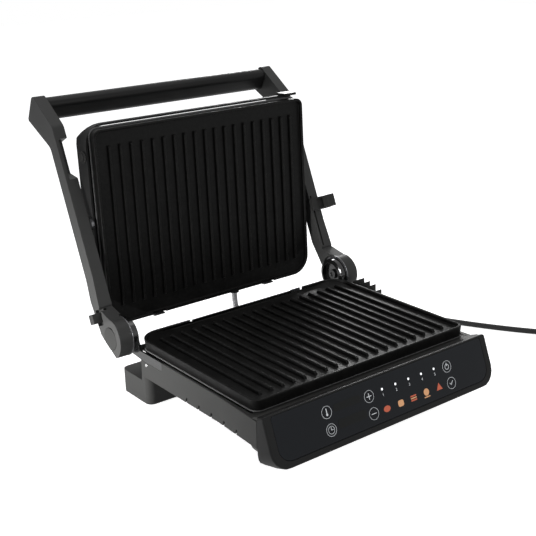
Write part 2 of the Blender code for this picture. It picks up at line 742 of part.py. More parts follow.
def make_base():
    top = -BASE_TOP_DROP
    bottom = -BASE_BOTTOM_DROP
    flare_end = BASE_FRONT_Y + FRONT_FLARE_REACH
    sides = (
        (-FRONT_X, BASE_FRONT_Y), (FRONT_X, BASE_FRONT_Y), (SIDE_X, flare_end),
        (SIDE_X, BASE_STEP_Y), (-SIDE_X, BASE_STEP_Y), (-SIDE_X, flare_end))
    base = add_object("base_housing", outline(sides, bottom, top), CHARCOAL, GRILL)
    bevel(base, BASE_WALL / 4, 1)
    body_top = -REAR_BODY_TOP_DROP
    body_bottom = -REAR_BODY_BOTTOM_DROP
    body_front = BASE_STEP_Y - OVERRUN
    join(base, box((-REAR_BODY_X, body_front, body_bottom), (REAR_BODY_X, REAR_BODY_Y, body_top)))
    for _, side in SIDES:
        inner, outer = sorted((side * FOOT_INNER_X, side * SIDE_X))
        corners = (
            (inner, FOOT_FRONT_Y, FOOT_CORNER), (outer, FOOT_FRONT_Y, FOOT_CORNER),
            (outer, FOOT_REAR_Y, FOOT_CORNER if side > 0 else BASE_WALL),
            (inner, FOOT_REAR_Y, BASE_WALL if side > 0 else FOOT_CORNER))
        join(base, outline(rounded_polygon(corners), -FOOT_BOTTOM_DROP, -FOOT_TOP_DROP))
        neck = (
            (inner, FOOT_FRONT_Y, FOOT_CORNER), (outer, FOOT_FRONT_Y, FOOT_CORNER),
            (outer, BASE_STEP_Y, 0), (inner, BASE_STEP_Y, 0))
        join(base, outline(rounded_polygon(neck), -FOOT_TOP_DROP - OVERRUN, bottom + BASE_FLOOR / 2))
    inside_x = SIDE_X - BASE_WALL
    cut(base, boxes([
        ((-inside_x, BASE_FRONT_Y + BASE_WALL, bottom + BASE_FLOOR), (inside_x, BASE_STEP_Y - BASE_WALL, OVERRUN))]))
    join(base, deck_mesh(top - CLEARANCE))
    body_inside = REAR_BODY_X - BASE_WALL
    cut(base, box(
        (-body_inside, BASE_STEP_Y - BASE_WALL - OVERRUN, body_bottom + BASE_FLOOR),
        (body_inside, REAR_BODY_Y - BASE_WALL, body_top - BASE_WALL)))
    for _, side in SIDES:
        join(base, mirrored(
            (REAR_BODY_X - BASE_WALL * 2, BASE_STEP_Y - BASE_WALL / 2, top - DECK_THICKNESS),
            (SIDE_X - DECK_REAR_INSET, BASE_STEP_Y + DECK_REAR_REACH, top - CLEARANCE), side))
    for place in post_places(LOWER_DEPTH):
        join(base, cylinder(
            "Z", POST_RADIUS, bottom + BASE_FLOOR / 2, tray_underside() - CLEARANCE, place,
            segments=SMALL_SEGMENTS))
    cut(base, vent_mesh(bottom))
    for _, side in SIDES:
        cut(base, mirrored(
            (inside_x - OVERRUN, TONGUE_FRONT_Y - CLEARANCE, -TONGUE_BOTTOM_DROP - CLEARANCE),
            (SIDE_X + OVERRUN, BASE_STEP_Y + OVERRUN, OVERRUN), side))
        cut(base, side_cylinder(
            side, BRACKET_SCREW_RADIUS + CLEARANCE, SIDE_X - BRACKET_SCREW_LENGTH, SIDE_X + OVERRUN,
            (BRACKET_SCREW_Y, -BRACKET_SCREW_DROP), segments=SMALL_SEGMENTS))
        pad_bottom = -FOOT_BOTTOM_DROP + PAD_SINK
        cut(base, mirrored(
            (FOOT_INNER_X + PAD_INSET - CLEARANCE, FOOT_FRONT_Y + PAD_INSET - CLEARANCE, FLOOR_Z - OVERRUN),
            (SIDE_X - PAD_INSET + CLEARANCE, FOOT_REAR_Y - PAD_INSET + CLEARANCE, pad_bottom), side))
    gland_bore = GLAND_TIP_RADIUS + CLEARANCE
    cut(base, cylinder(
        "Y", gland_bore, REAR_BODY_Y - BASE_WALL - OVERRUN, REAR_BODY_Y + OVERRUN,
        (CORD_EXIT_X, -CORD_EXIT_DROP), segments=SMALL_SEGMENTS))
    return base


def deck_mesh(top):
    """The sloping deck behind the fascia."""
    low = top - DECK_THICKNESS
    high = -PANEL_TOP_DROP - math.tan(PANEL_TILT) * (BASE_FRONT_Y - PANEL_TOP_Y)
    front = BASE_FRONT_Y + CLEARANCE / 2
    toe = front + (high - top) / math.tan(PANEL_TILT)
    back = front + DECK_FRONT_REACH
    half = FRONT_X - DECK_SIDE_INSET
    return side_outline([(front, low), (front, high), (toe, top), (back, top), (back, low)], -half, half)


def vent_mesh(bottom):
    """Short leaning slots in the lower edge of each side wall."""
    shape = bmesh.new()
    for _, side in SIDES:
        for index in range(VENT_COUNT):
            made = bmesh.ops.create_cube(shape, size=1)["verts"]
            size = (BASE_WALL * 3, VENT_WIDTH, VENT_HEIGHT * 2)
            place = (side * SIDE_X, VENT_FIRST_Y + index * VENT_PITCH, bottom)
            turn = Matrix.Translation(place) @ Matrix.Rotation(VENT_LEAN, 4, "X") @ Matrix.Diagonal((*size, 1))
            bmesh.ops.transform(shape, matrix=turn, verts=made)
    return finish_mesh("vents", shape)


make_base()


# Feet

def make_feet():
    cover_underside = -BASE_BOTTOM_DROP - CLEARANCE - COVER_THICKNESS
    for word, side in SIDES:
        foot = cylinder(
            "Z", FRONT_FOOT_RADIUS, FLOOR_Z, cover_underside - CLEARANCE,
            (side * FRONT_FOOT_X, FRONT_FOOT_Y), FRONT_FOOT_TOP_RADIUS, SMALL_SEGMENTS)
        add_object("front_foot_" + word, foot, RUBBER, GRILL)
        pad = mirrored(
            (FOOT_INNER_X + PAD_INSET, FOOT_FRONT_Y + PAD_INSET, FLOOR_Z),
            (SIDE_X - PAD_INSET, FOOT_REAR_Y - PAD_INSET, -FOOT_BOTTOM_DROP + PAD_SINK - CLEARANCE), side)
        bevel(add_object("rear_pad_" + word, pad, RUBBER, GRILL), PAD_SINK / 4, 1)


make_feet()


# Bottom cover with the rounded beam behind the fascia

def make_bottom_cover():
    top = -BASE_BOTTOM_DROP - CLEARANCE
    half = SIDE_X - COVER_INSET
    rear = FOOT_FRONT_Y - CLEARANCE
    cover = add_object(
        "bottom_cover", box((-half, BASE_FRONT_Y, top - COVER_THICKNESS), (half, rear, top)), CHARCOAL, GRILL)
    middle = SIDE_X - BEAM_SIDE_INSET - BEAM_ROUNDING
    rise = BEAM_ROUNDING - BEAM_DROP
    reach = math.acos((rise - top) / BEAM_ROUNDING)
    beam = arc((-middle, rise), BEAM_ROUNDING, -math.pi / 2 - reach, -math.pi / 2, ROUNDING_STEPS)
    beam += arc((middle, rise), BEAM_ROUNDING, -math.pi / 2, reach - math.pi / 2, ROUNDING_STEPS)
    shape = outline_shape(beam, BASE_FRONT_Y, BEAM_REAR_Y)
    front_view = Matrix(((1, 0, 0, 0), (0, 0, 1, 0), (0, 1, 0, 0), (0, 0, 0, 1)))
    bmesh.ops.transform(shape, matrix=front_view, verts=shape.verts)
    join(cover, finish_mesh("beam", shape))
    return cover


make_bottom_cover()


# Fascia, glass, display and board, in the frame of the sloping panel

def panel_outline(side_inset, top_inset, bottom_inset, low_corner, high_corner):
    half = FRONT_X - side_inset
    low = -PANEL_LENGTH + bottom_inset
    high = -top_inset
    return rounded_polygon((
        (-half, low, low_corner), (half, low, low_corner),
        (half, high, high_corner), (-half, high, high_corner)))


def make_fascia():
    fascia = add_object(
        "front_fascia",
        outline(panel_outline(0, 0, 0, FASCIA_BOTTOM_CORNER, FASCIA_TOP_CORNER), -FASCIA_DEPTH, 0),
        CHARCOAL, PANEL)
    bevel(fascia, FASCIA_EDGE, 3, 60)
    reach = FRONT_X + OVERRUN
    far = FASCIA_DEPTH + REAR_BODY_Y
    cut(fascia, box(
        (-reach, BASE_FRONT_Y - CLEARANCE, -far), (reach, far, far)), parent=GRILL)
    cut(fascia, box((-reach, -far, -far), (reach, far, -FASCIA_BOTTOM_DROP)), parent=GRILL)
    inner = panel_outline(
        FASCIA_WALL, FASCIA_WALL, FASCIA_WALL, FASCIA_BOTTOM_CORNER - FASCIA_WALL, FASCIA_WALL / 2)
    cut(fascia, outline(inner, -FASCIA_DEPTH - OVERRUN, -FASCIA_FRONT_WALL))
    seat = panel_outline(
        GLASS_SIDE_MARGIN - CLEARANCE, GLASS_TOP_MARGIN - CLEARANCE, GLASS_BOTTOM_MARGIN - CLEARANCE,
        GLASS_CORNER, FASCIA_TOP_CORNER)
    cut(fascia, outline(seat, -GLASS_THICKNESS - CLEARANCE, OVERRUN))
    half = WINDOW_WIDTH / 2
    high = WINDOW_RISE + WINDOW_HEIGHT / 2
    low = WINDOW_RISE - WINDOW_HEIGHT / 2
    cut(fascia, box((WINDOW_X - half, low, -FASCIA_DEPTH), (WINDOW_X + half, high, OVERRUN)))
    glass = panel_outline(
        GLASS_SIDE_MARGIN, GLASS_TOP_MARGIN, GLASS_BOTTOM_MARGIN, GLASS_CORNER, FASCIA_TOP_CORNER)
    sheet = add_object("touch_glass", outline(glass, -GLASS_THICKNESS, 0), GLASS, PANEL)
    bevel(sheet, CLEARANCE, 1, 60)
    board_top = -FASCIA_FRONT_WALL - CLEARANCE
    board_low = -PANEL_LENGTH + FASCIA_BOTTOM_CORNER - BOARD_MARGIN
    board = box(
        (-BOARD_HALF_WIDTH, board_low, board_top - BOARD_THICKNESS),
        (BOARD_HALF_WIDTH, -FASCIA_WALL - BOARD_MARGIN / 2, board_top))
    add_object("control_board", board, BOARD, PANEL)
    display = box(
        (WINDOW_X - half + CLEARANCE, low + CLEARANCE, board_top + CLEARANCE),
        (WINDOW_X + half - CLEARANCE, high - CLEARANCE, -GLASS_THICKNESS - DISPLAY_RELIEF))
    add_object("display_module", display, BLACK, PANEL)


make_fascia()


# Hinge brackets, rings and screws

def make_hinges():
    across = (HINGE_Y, HINGE_Z)
    tongue_inner = SIDE_X - BASE_WALL + CLEARANCE
    for word, side in SIDES:
        top = -BASE_TOP_DROP
        low = -TONGUE_BOTTOM_DROP
        lean = math.asin((HINGE_Z - low) / math.hypot(HINGE_Y - BASE_STEP_Y, HINGE_Z - low))
        ear = arc(across, EAR_RADIUS - CLEARANCE, math.pi - lean, -math.pi / 2, ROUND_SEGMENTS // 2)
        profile = [(TONGUE_FRONT_Y, low), (TONGUE_FRONT_Y, top), (BASE_STEP_Y, top), *ear, (BASE_STEP_Y, low)]
        bracket = add_object(
            "hinge_bracket_" + word, side_prism(side, profile, tongue_inner, SIDE_X), CHARCOAL, GRILL)
        shoulder = EAR_INNER_X + EAR_CHAMFER_LENGTH
        join(bracket, side_cylinder(side, EAR_RADIUS, shoulder, EAR_OUTER_X, across))
        join(bracket, side_cylinder(
            side, EAR_RADIUS - EAR_CHAMFER, EAR_INNER_X, shoulder, across, EAR_RADIUS))
        cut(bracket, side_cylinder(
            side, EAR_CUP_RADIUS, EAR_INNER_X - OVERRUN, EAR_INNER_X + EAR_CUP_DEPTH, across))
        cut(bracket, side_cylinder(
            side, SCREW_RADIUS + CLEARANCE, EAR_INNER_X, EAR_OUTER_X + OVERRUN, across, segments=SMALL_SEGMENTS))
        place = (BRACKET_SCREW_Y, -BRACKET_SCREW_DROP)
        screw = side_cylinder(
            side, BRACKET_SCREW_RADIUS, SIDE_X - BRACKET_SCREW_LENGTH + CLEARANCE, SIDE_X, place,
            segments=SMALL_SEGMENTS)
        add_object("bracket_screw_" + word, screw, STEEL, GRILL)
        ring_inner = EAR_OUTER_X + CLEARANCE / 2
        ring = add_object(
            "hinge_ring_" + word,
            side_cylinder(side, RING_RADIUS, ring_inner, ring_inner + RING_THICKNESS, across), STEEL, GRILL)
        cut(ring, side_cylinder(
            side, SCREW_RADIUS + CLEARANCE, ring_inner - OVERRUN, BARREL_INNER_X + OVERRUN, across,
            segments=SMALL_SEGMENTS))
        seat = EAR_INNER_X + EAR_CUP_DEPTH - CLEARANCE
        bolt = add_object(
            "hinge_screw_" + word,
            side_cylinder(side, SCREW_HEAD_RADIUS, seat - SCREW_HEAD_HEIGHT, seat, across,
                          segments=SMALL_SEGMENTS), STEEL, GRILL)
        join(bolt, side_cylinder(
            side, SCREW_RADIUS, seat - SCREW_HEAD_HEIGHT / 2, ARM_OUTER_X - CAP_THICKNESS, across,
            segments=SMALL_SEGMENTS))
        cut(bolt, side_cylinder(
            side, SCREW_SOCKET_RADIUS, seat - SCREW_HEAD_HEIGHT - OVERRUN,
            seat - SCREW_HEAD_HEIGHT + SCREW_SOCKET_DEPTH, across, segments=6))


make_hinges()


# Saw-toothed rack for the height clip

def make_rack():
    top = HINGE_Z + RACK_TOP_RISE
    points = [(RACK_FIRST_Y, -RACK_BODY_DROP)]
    for index, share in enumerate(RACK_STEP_SHARES):
        rear = RACK_FIRST_Y - index * RACK_STEP_Y
        front = rear - RACK_STEP_Y
        peak = top - share * RACK_TOOTH_HEIGHT
        points.append((rear, peak - RACK_TOOTH_HEIGHT))
        points.append((front + CLEARANCE, peak))
    last = RACK_FIRST_Y - len(RACK_STEP_SHARES) * RACK_STEP_Y
    points.append((last, -RACK_BODY_DROP))
    rack = side_outline(points, SIDE_X + CLEARANCE, RACK_OUTER_X)
    add_object("height_rack", rack, BLACK, GRILL)


make_rack()


# Lid arms: s runs from the hinge to the handle along -Y of the lid frame, h along its Z

def arm_point(s, h):
    return (-s, h)


def make_arms():
    outline_corners = [
        (*arm_point(NECK_FRONT_S, ARM_FRONT_H), TIP_ROUNDING),
        (*arm_point(BEND_FRONT_S, ARM_FRONT_H), BEND_ROUNDING),
        (*arm_point(TIP_FRONT_S, TIP_FRONT_H), TIP_FRONT_ROUNDING),
        (*arm_point(TIP_REAR_S, TIP_REAR_H), TIP_ROUNDING),
        (*arm_point(BEND_REAR_S, ARM_REAR_H), BEND_ROUNDING),
        (*arm_point(NECK_REAR_S, ARM_REAR_H), BEND_ROUNDING),
        (*arm_point(NECK_WAIST_S, NECK_WAIST_H), 0),
    ]
    body = rounded_polygon(outline_corners)
    leave = math.radians(180 - 66)
    meet = math.radians(180 - 343)
    barrel = arc((0, 0), BARREL_RADIUS, leave, meet, 30)
    for word, side in SIDES:
        mesh = arm_mesh(side, body + barrel)
        arm = add_object("arm_" + word, mesh, CHARCOAL, LID)
        bevel(arm, BASE_WALL / 3, 2)
        cut(arm, side_cylinder(
            side, BARREL_RADIUS + BARREL_RECESS, ARM_INNER_X - OVERRUN, BARREL_INNER_X, (0, 0)))
        ramp = SCOOP_RAMP
        scoop = [
            arm_point(SCOOP_LOW_S - ramp, -OVERRUN), arm_point(SCOOP_LOW_S, ARM_FRONT_H),
            arm_point(SCOOP_LOW_S + ramp, SCOOP_DEPTH_H), arm_point(SCOOP_HIGH_S - ramp / 4, SCOOP_DEPTH_H),
            arm_point(SCOOP_HIGH_S, -OVERRUN)]
        cut(arm, side_prism(side, scoop, ARM_INNER_X - OVERRUN, ARM_OUTER_X - SCOOP_SKIN))
        pivot = arm_point(PIVOT_S, PIVOT_H)
        cut(arm, side_cylinder(
            side, PIVOT_RADIUS + CLEARANCE, ARM_INNER_X - OVERRUN, ARM_INNER_X + PIVOT_DEPTH + CLEARANCE, pivot,
            segments=SMALL_SEGMENTS))
        cut(arm, side_cylinder(
            side, SCREW_RADIUS + CLEARANCE, BARREL_INNER_X - OVERRUN, ARM_OUTER_X - CAP_THICKNESS + CLEARANCE,
            (0, 0), segments=SMALL_SEGMENTS))
        cut(arm, barrel_flat(side))
        cap_seat = BARREL_OUTER_X - CAP_THICKNESS - CLEARANCE + CAP_PROUD
        cut(arm, side_cylinder(side, CAP_RADIUS + CLEARANCE, cap_seat, BARREL_OUTER_X + OVERRUN, (0, 0)))
        spigot_cut(arm, side)
        cap = side_cylinder(side, CAP_RADIUS, cap_seat + CLEARANCE, BARREL_OUTER_X + CAP_PROUD, (0, 0))
        cover = add_object("hinge_cap_" + word, cap, CHARCOAL, LID)
        bevel(cover, CAP_THICKNESS / 4, 1)
        cut(cover, barrel_flat(side))
        pin_inner = HOUSING_SIDE_X - HOUSING_WALL
        pin = add_object(
            "pivot_pin_" + word,
            side_cylinder(side, PIVOT_RADIUS, pin_inner, ARM_INNER_X + PIVOT_DEPTH, pivot,
                          segments=SMALL_SEGMENTS), STEEL, LID)
        join(pin, side_cylinder(
            side, PIVOT_COLLAR_RADIUS, HOUSING_SIDE_X + CLEARANCE, ARM_INNER_X - CLEARANCE, pivot))
        if side > 0:
            cut(arm, box(
                (GROOVE_X - GROOVE_WIDTH / 2, -GROOVE_HIGH_S, -OVERRUN),
                (GROOVE_X + GROOVE_WIDTH / 2, -GROOVE_LOW_S, ARM_FRONT_H + GROOVE_DEPTH)))
        else:
            cut(arm, box(
                (-BARREL_OUTER_X - OVERRUN, -LOCK_S - LOCK_SLOT_LENGTH / 2, LOCK_H - LOCK_SLOT_WIDTH / 2),
                (-BARREL_OUTER_X + LOCK_ROOT_DEPTH + LOCK_TRAVEL + BARREL_FLARE / 2,
                 -LOCK_S + LOCK_SLOT_LENGTH / 2, LOCK_H + LOCK_SLOT_WIDTH / 2)))


def barrel_flat(side):
    """What is cut off the round end of an arm and of its cap, which leaves a flat there."""
    out = Vector((math.cos(BARREL_FLAT_TURN), math.sin(BARREL_FLAT_TURN)))
    along = Vector((-out.y, out.x))
    middle = out * BARREL_FLAT
    half = along * (BARREL_RADIUS + OVERRUN)
    far = out * BARREL_RADIUS
    corners = (middle - half, middle + half, middle + half + far, middle - half + far)
    points = [arm_point(corner.x, corner.y) for corner in corners]
    return side_prism(side, points, ARM_INNER_X - OVERRUN, BARREL_OUTER_X + OVERRUN)


def arm_mesh(side, points):
    """The arm's outer face leans outward towards the hinge, so that the barrel is thicker."""
    shape = outline_shape(points, ARM_INNER_X, ARM_OUTER_X)
    bmesh.ops.transform(shape, matrix=SIDE_VIEW, verts=shape.verts)
    for place in (-FLARE_LENGTH, 0):
        whole = list(shape.verts) + list(shape.edges) + list(shape.faces)
        bmesh.ops.bisect_plane(shape, geom=whole, plane_co=(0, place, 0), plane_no=(0, 1, 0))
    middle = (ARM_INNER_X + ARM_OUTER_X) / 2
    for corner in shape.verts:
        share = min(max(1 + corner.co.y / FLARE_LENGTH, 0), 1)
        if corner.co.x > middle:
            corner.co.x += BARREL_FLARE * share
    bmesh.ops.scale(shape, vec=(side, 1, 1), verts=shape.verts)
    return finish_mesh("arm", shape)


def handle_profile(scale_share, grow=0.0):
    """A rounded bar section that lies along the end face of the arm tips."""
    front = Vector(arm_point(TIP_FRONT_S, TIP_FRONT_H))
    rear = Vector(arm_point(TIP_REAR_S, TIP_REAR_H))
    across = (rear - front).normalized()
    inward = Vector((-across.y, across.x))
    if inward.x < 0:
        inward = -inward
    centre = (front + rear) / 2 + inward * HANDLE_SETBACK - across * HANDLE_FORWARD
    half_wide = across * (HANDLE_WIDTH * scale_share / 2 + grow)
    half_thick = inward * (HANDLE_THICKNESS * scale_share / 2 + grow)
    corners = (
        centre - half_wide - half_thick, centre + half_wide - half_thick,
        centre + half_wide + half_thick, centre - half_wide + half_thick)
    return rounded_polygon([(*corner, HANDLE_ROUNDING * scale_share) for corner in corners])


def spigot_cut(arm, side):
    """The pocket that takes the end of the handle bar."""
    profile = handle_profile(HANDLE_SPIGOT_SHARE, CLEARANCE)
    cut(arm, side_prism(
        side, profile, ARM_INNER_X - OVERRUN, ARM_INNER_X + HANDLE_SPIGOT_DEPTH + CLEARANCE))


def make_handle():
    half = ARM_INNER_X - CLEARANCE
    bar = add_object("handle_bar", side_outline(handle_profile(1), -half, half), CHARCOAL, LID)
    reach = ARM_INNER_X + HANDLE_SPIGOT_DEPTH
    join(bar, side_outline(handle_profile(HANDLE_SPIGOT_SHARE), -reach, reach))


make_arms()
make_handle()


# Height clip, with its lug outside the right arm

def make_clip():
    low = -CLIP_FREE_S - CLIP_LENGTH / 2
    high = -CLIP_FREE_S + CLIP_LENGTH / 2
    face = ARM_FRONT_H - CLEARANCE
    clip = add_object(
        "height_clip", box((CLIP_INNER_X, low, CLIP_PLATE_H), (CLIP_OUTER_X - CLEARANCE, high, face)), BLACK, LID)
    join(clip, box(
        (CLIP_BLOCK_INNER_X, low + CLEARANCE, CLIP_BLOCK_FRONT_H),
        (CLIP_OUTER_X, high - CLEARANCE, CLIP_BLOCK_REAR_H)))
    half = GROOVE_WIDTH / 2 - CLEARANCE
    join(clip, box(
        (GROOVE_X - half, low + CLEARANCE * 2, face - CLIP_RECESS_DEPTH),
        (GROOVE_X + half, high - CLEARANCE * 2, ARM_FRONT_H + GROOVE_DEPTH - CLEARANCE)))
    cut(clip, box(
        (CLIP_RECESS_INNER_X, low + CLIP_RECESS_DEPTH, CLIP_PLATE_H - OVERRUN),
        (CLIP_BLOCK_INNER_X - CLEARANCE, high - CLIP_RECESS_DEPTH, CLIP_PLATE_H + CLIP_RECESS_DEPTH)))


make_clip()


# Lock button in its slot at the outside of the left hinge

def make_lock():
    root = BARREL_OUTER_X - LOCK_ROOT_DEPTH - BARREL_FLARE / 2 + CLEARANCE
    low = -LOCK_S - LOCK_LENGTH / 2
    high = -LOCK_S + LOCK_LENGTH / 2
    stub = add_object(
        "lock_button",
        box((-LOCK_OUTER_X, low, LOCK_H - LOCK_WIDTH / 2), (-root - CLEARANCE, high, LOCK_H + LOCK_WIDTH / 2)),
        BLACK, LID)
    bevel(stub, BASE_WALL / 4, 2)
    half_length = LOCK_SLOT_LENGTH / 2 - CLEARANCE
    half_width = LOCK_SLOT_WIDTH / 2 - CLEARANCE
    join(stub, box(
        (-root - LOCK_TRAVEL / 2, -LOCK_S - half_length, LOCK_H - half_width),
        (-root, -LOCK_S + half_length, LOCK_H + half_width)))


make_lock()


# Upper housing on the floating pivot. In its frame Y runs from the handle end to the
# hinge end and Z points to the back of the housing

def housing_outline(inset):
    half = HOUSING_SIDE_X - inset
    front = -HOUSING_FRONT_OVERHANG + inset
    rear = UPPER_DEPTH + HOUSING_REAR_OVERHANG - inset
    return rounded_polygon((
        (-half, front, HOUSING_CORNER - inset), (half, front, HOUSING_CORNER - inset),
        (half, rear, HOUSING_REAR_CORNER - inset), (-half, rear, HOUSING_REAR_CORNER - inset)))


def make_housing():
    near = HOUSING_NEAR_DEPTH
    far = HOUSING_FAR_DEPTH
    offset = UPPER_PLACE
    housing = add_object(
        "upper_housing", outline(housing_outline(0), near, far), CHARCOAL, CARRIER, offset)
    chamfer_back(housing, offset)
    cut(housing, outline(housing_outline(HOUSING_WALL), near - OVERRUN, far - HOUSING_BACK), offset)
    back = far - HOUSING_BACK
    for place in post_places(UPPER_DEPTH):
        join(housing, cylinder(
            "Z", POST_RADIUS, CLEARANCE - tray_underside(), back + HOUSING_BACK / 2, place,
            segments=SMALL_SEGMENTS), offset)
    pivot = (PIVOT_FROM_FRONT, PIVOT_BEHIND_RIM)
    for _, side in SIDES:
        cut(housing, side_cylinder(
            side, PIVOT_RADIUS + CLEARANCE, HOUSING_SIDE_X - PIVOT_DEPTH * 2, HOUSING_SIDE_X + OVERRUN, pivot,
            segments=SMALL_SEGMENTS), offset)
    return housing


def chamfer_back(housing, offset):
    """Slopes the back edge of the housing at the handle end."""
    front = -HOUSING_FRONT_OVERHANG
    far = HOUSING_FAR_DEPTH
    size = HOUSING_BACK_CHAMFER
    wedge = [
        (front - OVERRUN, far - size - OVERRUN), (front + size + OVERRUN, far + OVERRUN),
        (front - OVERRUN, far + OVERRUN)]
    half = HOUSING_SIDE_X + OVERRUN
    cut(housing, side_outline(wedge, -half, half), offset)


make_housing()


def boss_place():
    """The tilt bosses sit beside the housing, near its handle end."""
    return (BOSS_FROM_FRONT, PIVOT_BEHIND_RIM + BOSS_RISE)


def make_bosses():
    place = boss_place()
    for word, side in SIDES:
        start = HOUSING_SIDE_X + CLEARANCE
        boss = add_object(
            "tilt_boss_" + word,
            side_cylinder(side, BOSS_RADIUS, start, HOUSING_SIDE_X + BOSS_LENGTH, place,
                          segments=SMALL_SEGMENTS), BLACK, CARRIER, UPPER_PLACE)
        join(boss, side_cylinder(
            side, BOSS_COLLAR_RADIUS, start, start + BASE_WALL / 2, place), UPPER_PLACE)


make_bosses()


# Heating gear: the same tray, element and thermostat serve both plates

def tray_outline(depth, inset):
    half = HALF_PLATE - REFLECTOR_MARGIN - inset
    radius = PLATE_CORNER - inset
    front = REFLECTOR_MARGIN + inset
    rear = depth - REFLECTOR_REAR_MARGIN - inset
    return rounded_polygon((
        (-half, front, radius), (half, front, radius), (half, rear, radius), (-half, rear, radius)))


def element_points(depth, height):
    front = ELEMENT_FRONT_MARGIN
    rear = depth - ELEMENT_REAR_MARGIN
    bend = ELEMENT_BEND
    left = arc((-ELEMENT_X + bend, front + bend), bend, math.pi, math.pi * 3 / 2, 8)
    right = arc((ELEMENT_X - bend, front + bend), bend, -math.pi / 2, 0, 8)
    flat = [(-ELEMENT_X, rear), *left, *right, (ELEMENT_X, rear)]
    return [(a, b, height) for a, b in flat]


def make_heater(word, depth, parent):
    rim = -RIM_HEIGHT - CLEARANCE
    bottom = tray_underside()
    tray = add_object(
        word + "_reflector", outline(tray_outline(depth, 0), bottom, rim), TIN, parent)
    cut(tray, outline(tray_outline(depth, REFLECTOR_SHEET), bottom + REFLECTOR_SHEET, OVERRUN))
    element_z = rim - REFLECTOR_SHEET - ELEMENT_RADIUS
    saddle_top = element_z - ELEMENT_RADIUS - CLEARANCE
    half = SADDLE_WIDTH / 2
    middle = depth / 2
    join(tray, boxes([
        ((side * ELEMENT_X - half, middle - half, bottom + REFLECTOR_SHEET / 2),
         (side * ELEMENT_X + half, middle + half, saddle_top)) for _, side in SIDES]))
    join(tray, cylinder(
        "Z", THERMOSTAT_RADIUS, bottom + REFLECTOR_SHEET / 2,
        rim - THERMOSTAT_HEIGHT - CLEARANCE * 2, (0, middle), segments=SMALL_SEGMENTS))
    tube(word + "_element", element_points(depth, element_z), ELEMENT_RADIUS, STEEL, parent)
    sensor = cylinder(
        "Z", THERMOSTAT_RADIUS, rim - THERMOSTAT_HEIGHT - CLEARANCE, rim, (0, middle), segments=SMALL_SEGMENTS)
    add_object(word + "_thermostat", sensor, STEEL, parent)


make_heater("lower", LOWER_DEPTH, GRILL)
make_heater("upper", UPPER_DEPTH, UPPER)


# Metal hooks that stand in the plates' notches

def make_hooks(word, depth, low, parent):
    rear = depth + CLEARANCE * 2
    half = HOOK_WIDTH / 2
    for name, side in SIDES:
        middle = side * HOOK_NOTCH_X
        add_object(
            word + "_hook_" + name,
            box((middle - half, rear, low), (middle + half, rear + HOOK_SHEET, -HOOK_TOP_DROP)), STEEL, parent)


make_hooks("lower", LOWER_DEPTH, CLEARANCE - REAR_BODY_TOP_DROP, GRILL)
make_hooks("upper", UPPER_DEPTH, CLEARANCE - HOUSING_NEAR_DEPTH, UPPER)


# Release latch of the upper plate, at the right of the handle end

def make_latch():
    half = LATCH_WIDTH / 2
    rear = -HOUSING_FRONT_OVERHANG - CLEARANCE
    front = rear - LATCH_LENGTH
    low = -LATCH_DROP
    latch = add_object(
        "plate_latch",
        box((-LATCH_X - half, front, low), (-LATCH_X + half, rear, -LATCH_SINK)), BLACK, UPPER)
    bevel(latch, BASE_WALL / 4, 2)


make_latch()


# Terminal block, conduit with its boot and socket

def make_wiring():
    width, depth, height = TERMINAL_SIZE
    low = -REAR_BODY_BOTTOM_DROP + BASE_FLOOR + CLEARANCE
    rear = REAR_BODY_Y - BASE_WALL - GLAND_FLANGE * 2
    block = box(
        (TERMINAL_X - width / 2, rear - depth, low), (TERMINAL_X + width / 2, rear, low + height))
    add_object("terminal_block", block, BLACK, GRILL)
    start = REAR_BODY_Y + CLEARANCE
    exit_z = -CONDUIT_EXIT_DROP
    boot = cylinder(
        "Y", BOOT_RADIUS, start, start + BOOT_LENGTH, (CONDUIT_X, exit_z), BOOT_TIP_RADIUS, SMALL_SEGMENTS)
    add_object("conduit_boot", boot, RUBBER, GRILL)
    tube("conduit", conduit_points(start + BOOT_LENGTH + CLEARANCE), CONDUIT_RADIUS, STEEL, GRILL, 3)
    rear_end = UPPER_DEPTH + HOUSING_REAR_OVERHANG + CLEARANCE
    socket = cylinder(
        "Y", SOCKET_RADIUS, rear_end, rear_end + SOCKET_LENGTH,
        (CONDUIT_X, socket_depth()), SOCKET_RADIUS, SMALL_SEGMENTS)
    add_object("conduit_socket", socket, RUBBER, CARRIER, UPPER_PLACE)


def socket_depth():
    return (HOUSING_NEAR_DEPTH + HOUSING_FAR_DEPTH) / 2


def socket_mouth():
    """Where the conduit meets the socket, in the frame of the grill."""
    bpy.context.view_layer.update()
    along = UPPER_DEPTH + HOUSING_REAR_OVERHANG + CLEARANCE * 2 + SOCKET_LENGTH
    local = Vector((CONDUIT_X, along, socket_depth())) + Vector(UPPER_PLACE)
    return GRILL.matrix_world.inverted() @ CARRIER.matrix_world @ local


def conduit_points(start):
    """A quarter bend from the boot at the rear wall up to the housing's socket."""
    end = socket_mouth()
    exit_z = -CONDUIT_EXIT_DROP
    handles = (
        Vector((CONDUIT_X, start, exit_z)), Vector((CONDUIT_X, (start + end.y * 3) / 4, exit_z)),
        Vector((CONDUIT_X, end.y, (exit_z * 3 + end.z) / 4)), end)
    steps = 12
    points = []
    for step in range(steps + 1):
        t = step / steps
        weights = ((1 - t) ** 3, 3 * t * (1 - t) ** 2, 3 * t * t * (1 - t), t ** 3)
        points.append(sum((w * p for w, p in zip(weights, handles)), Vector((0, 0, 0))))
    return points


make_wiring()


# Cord gland, cord, coil and plug

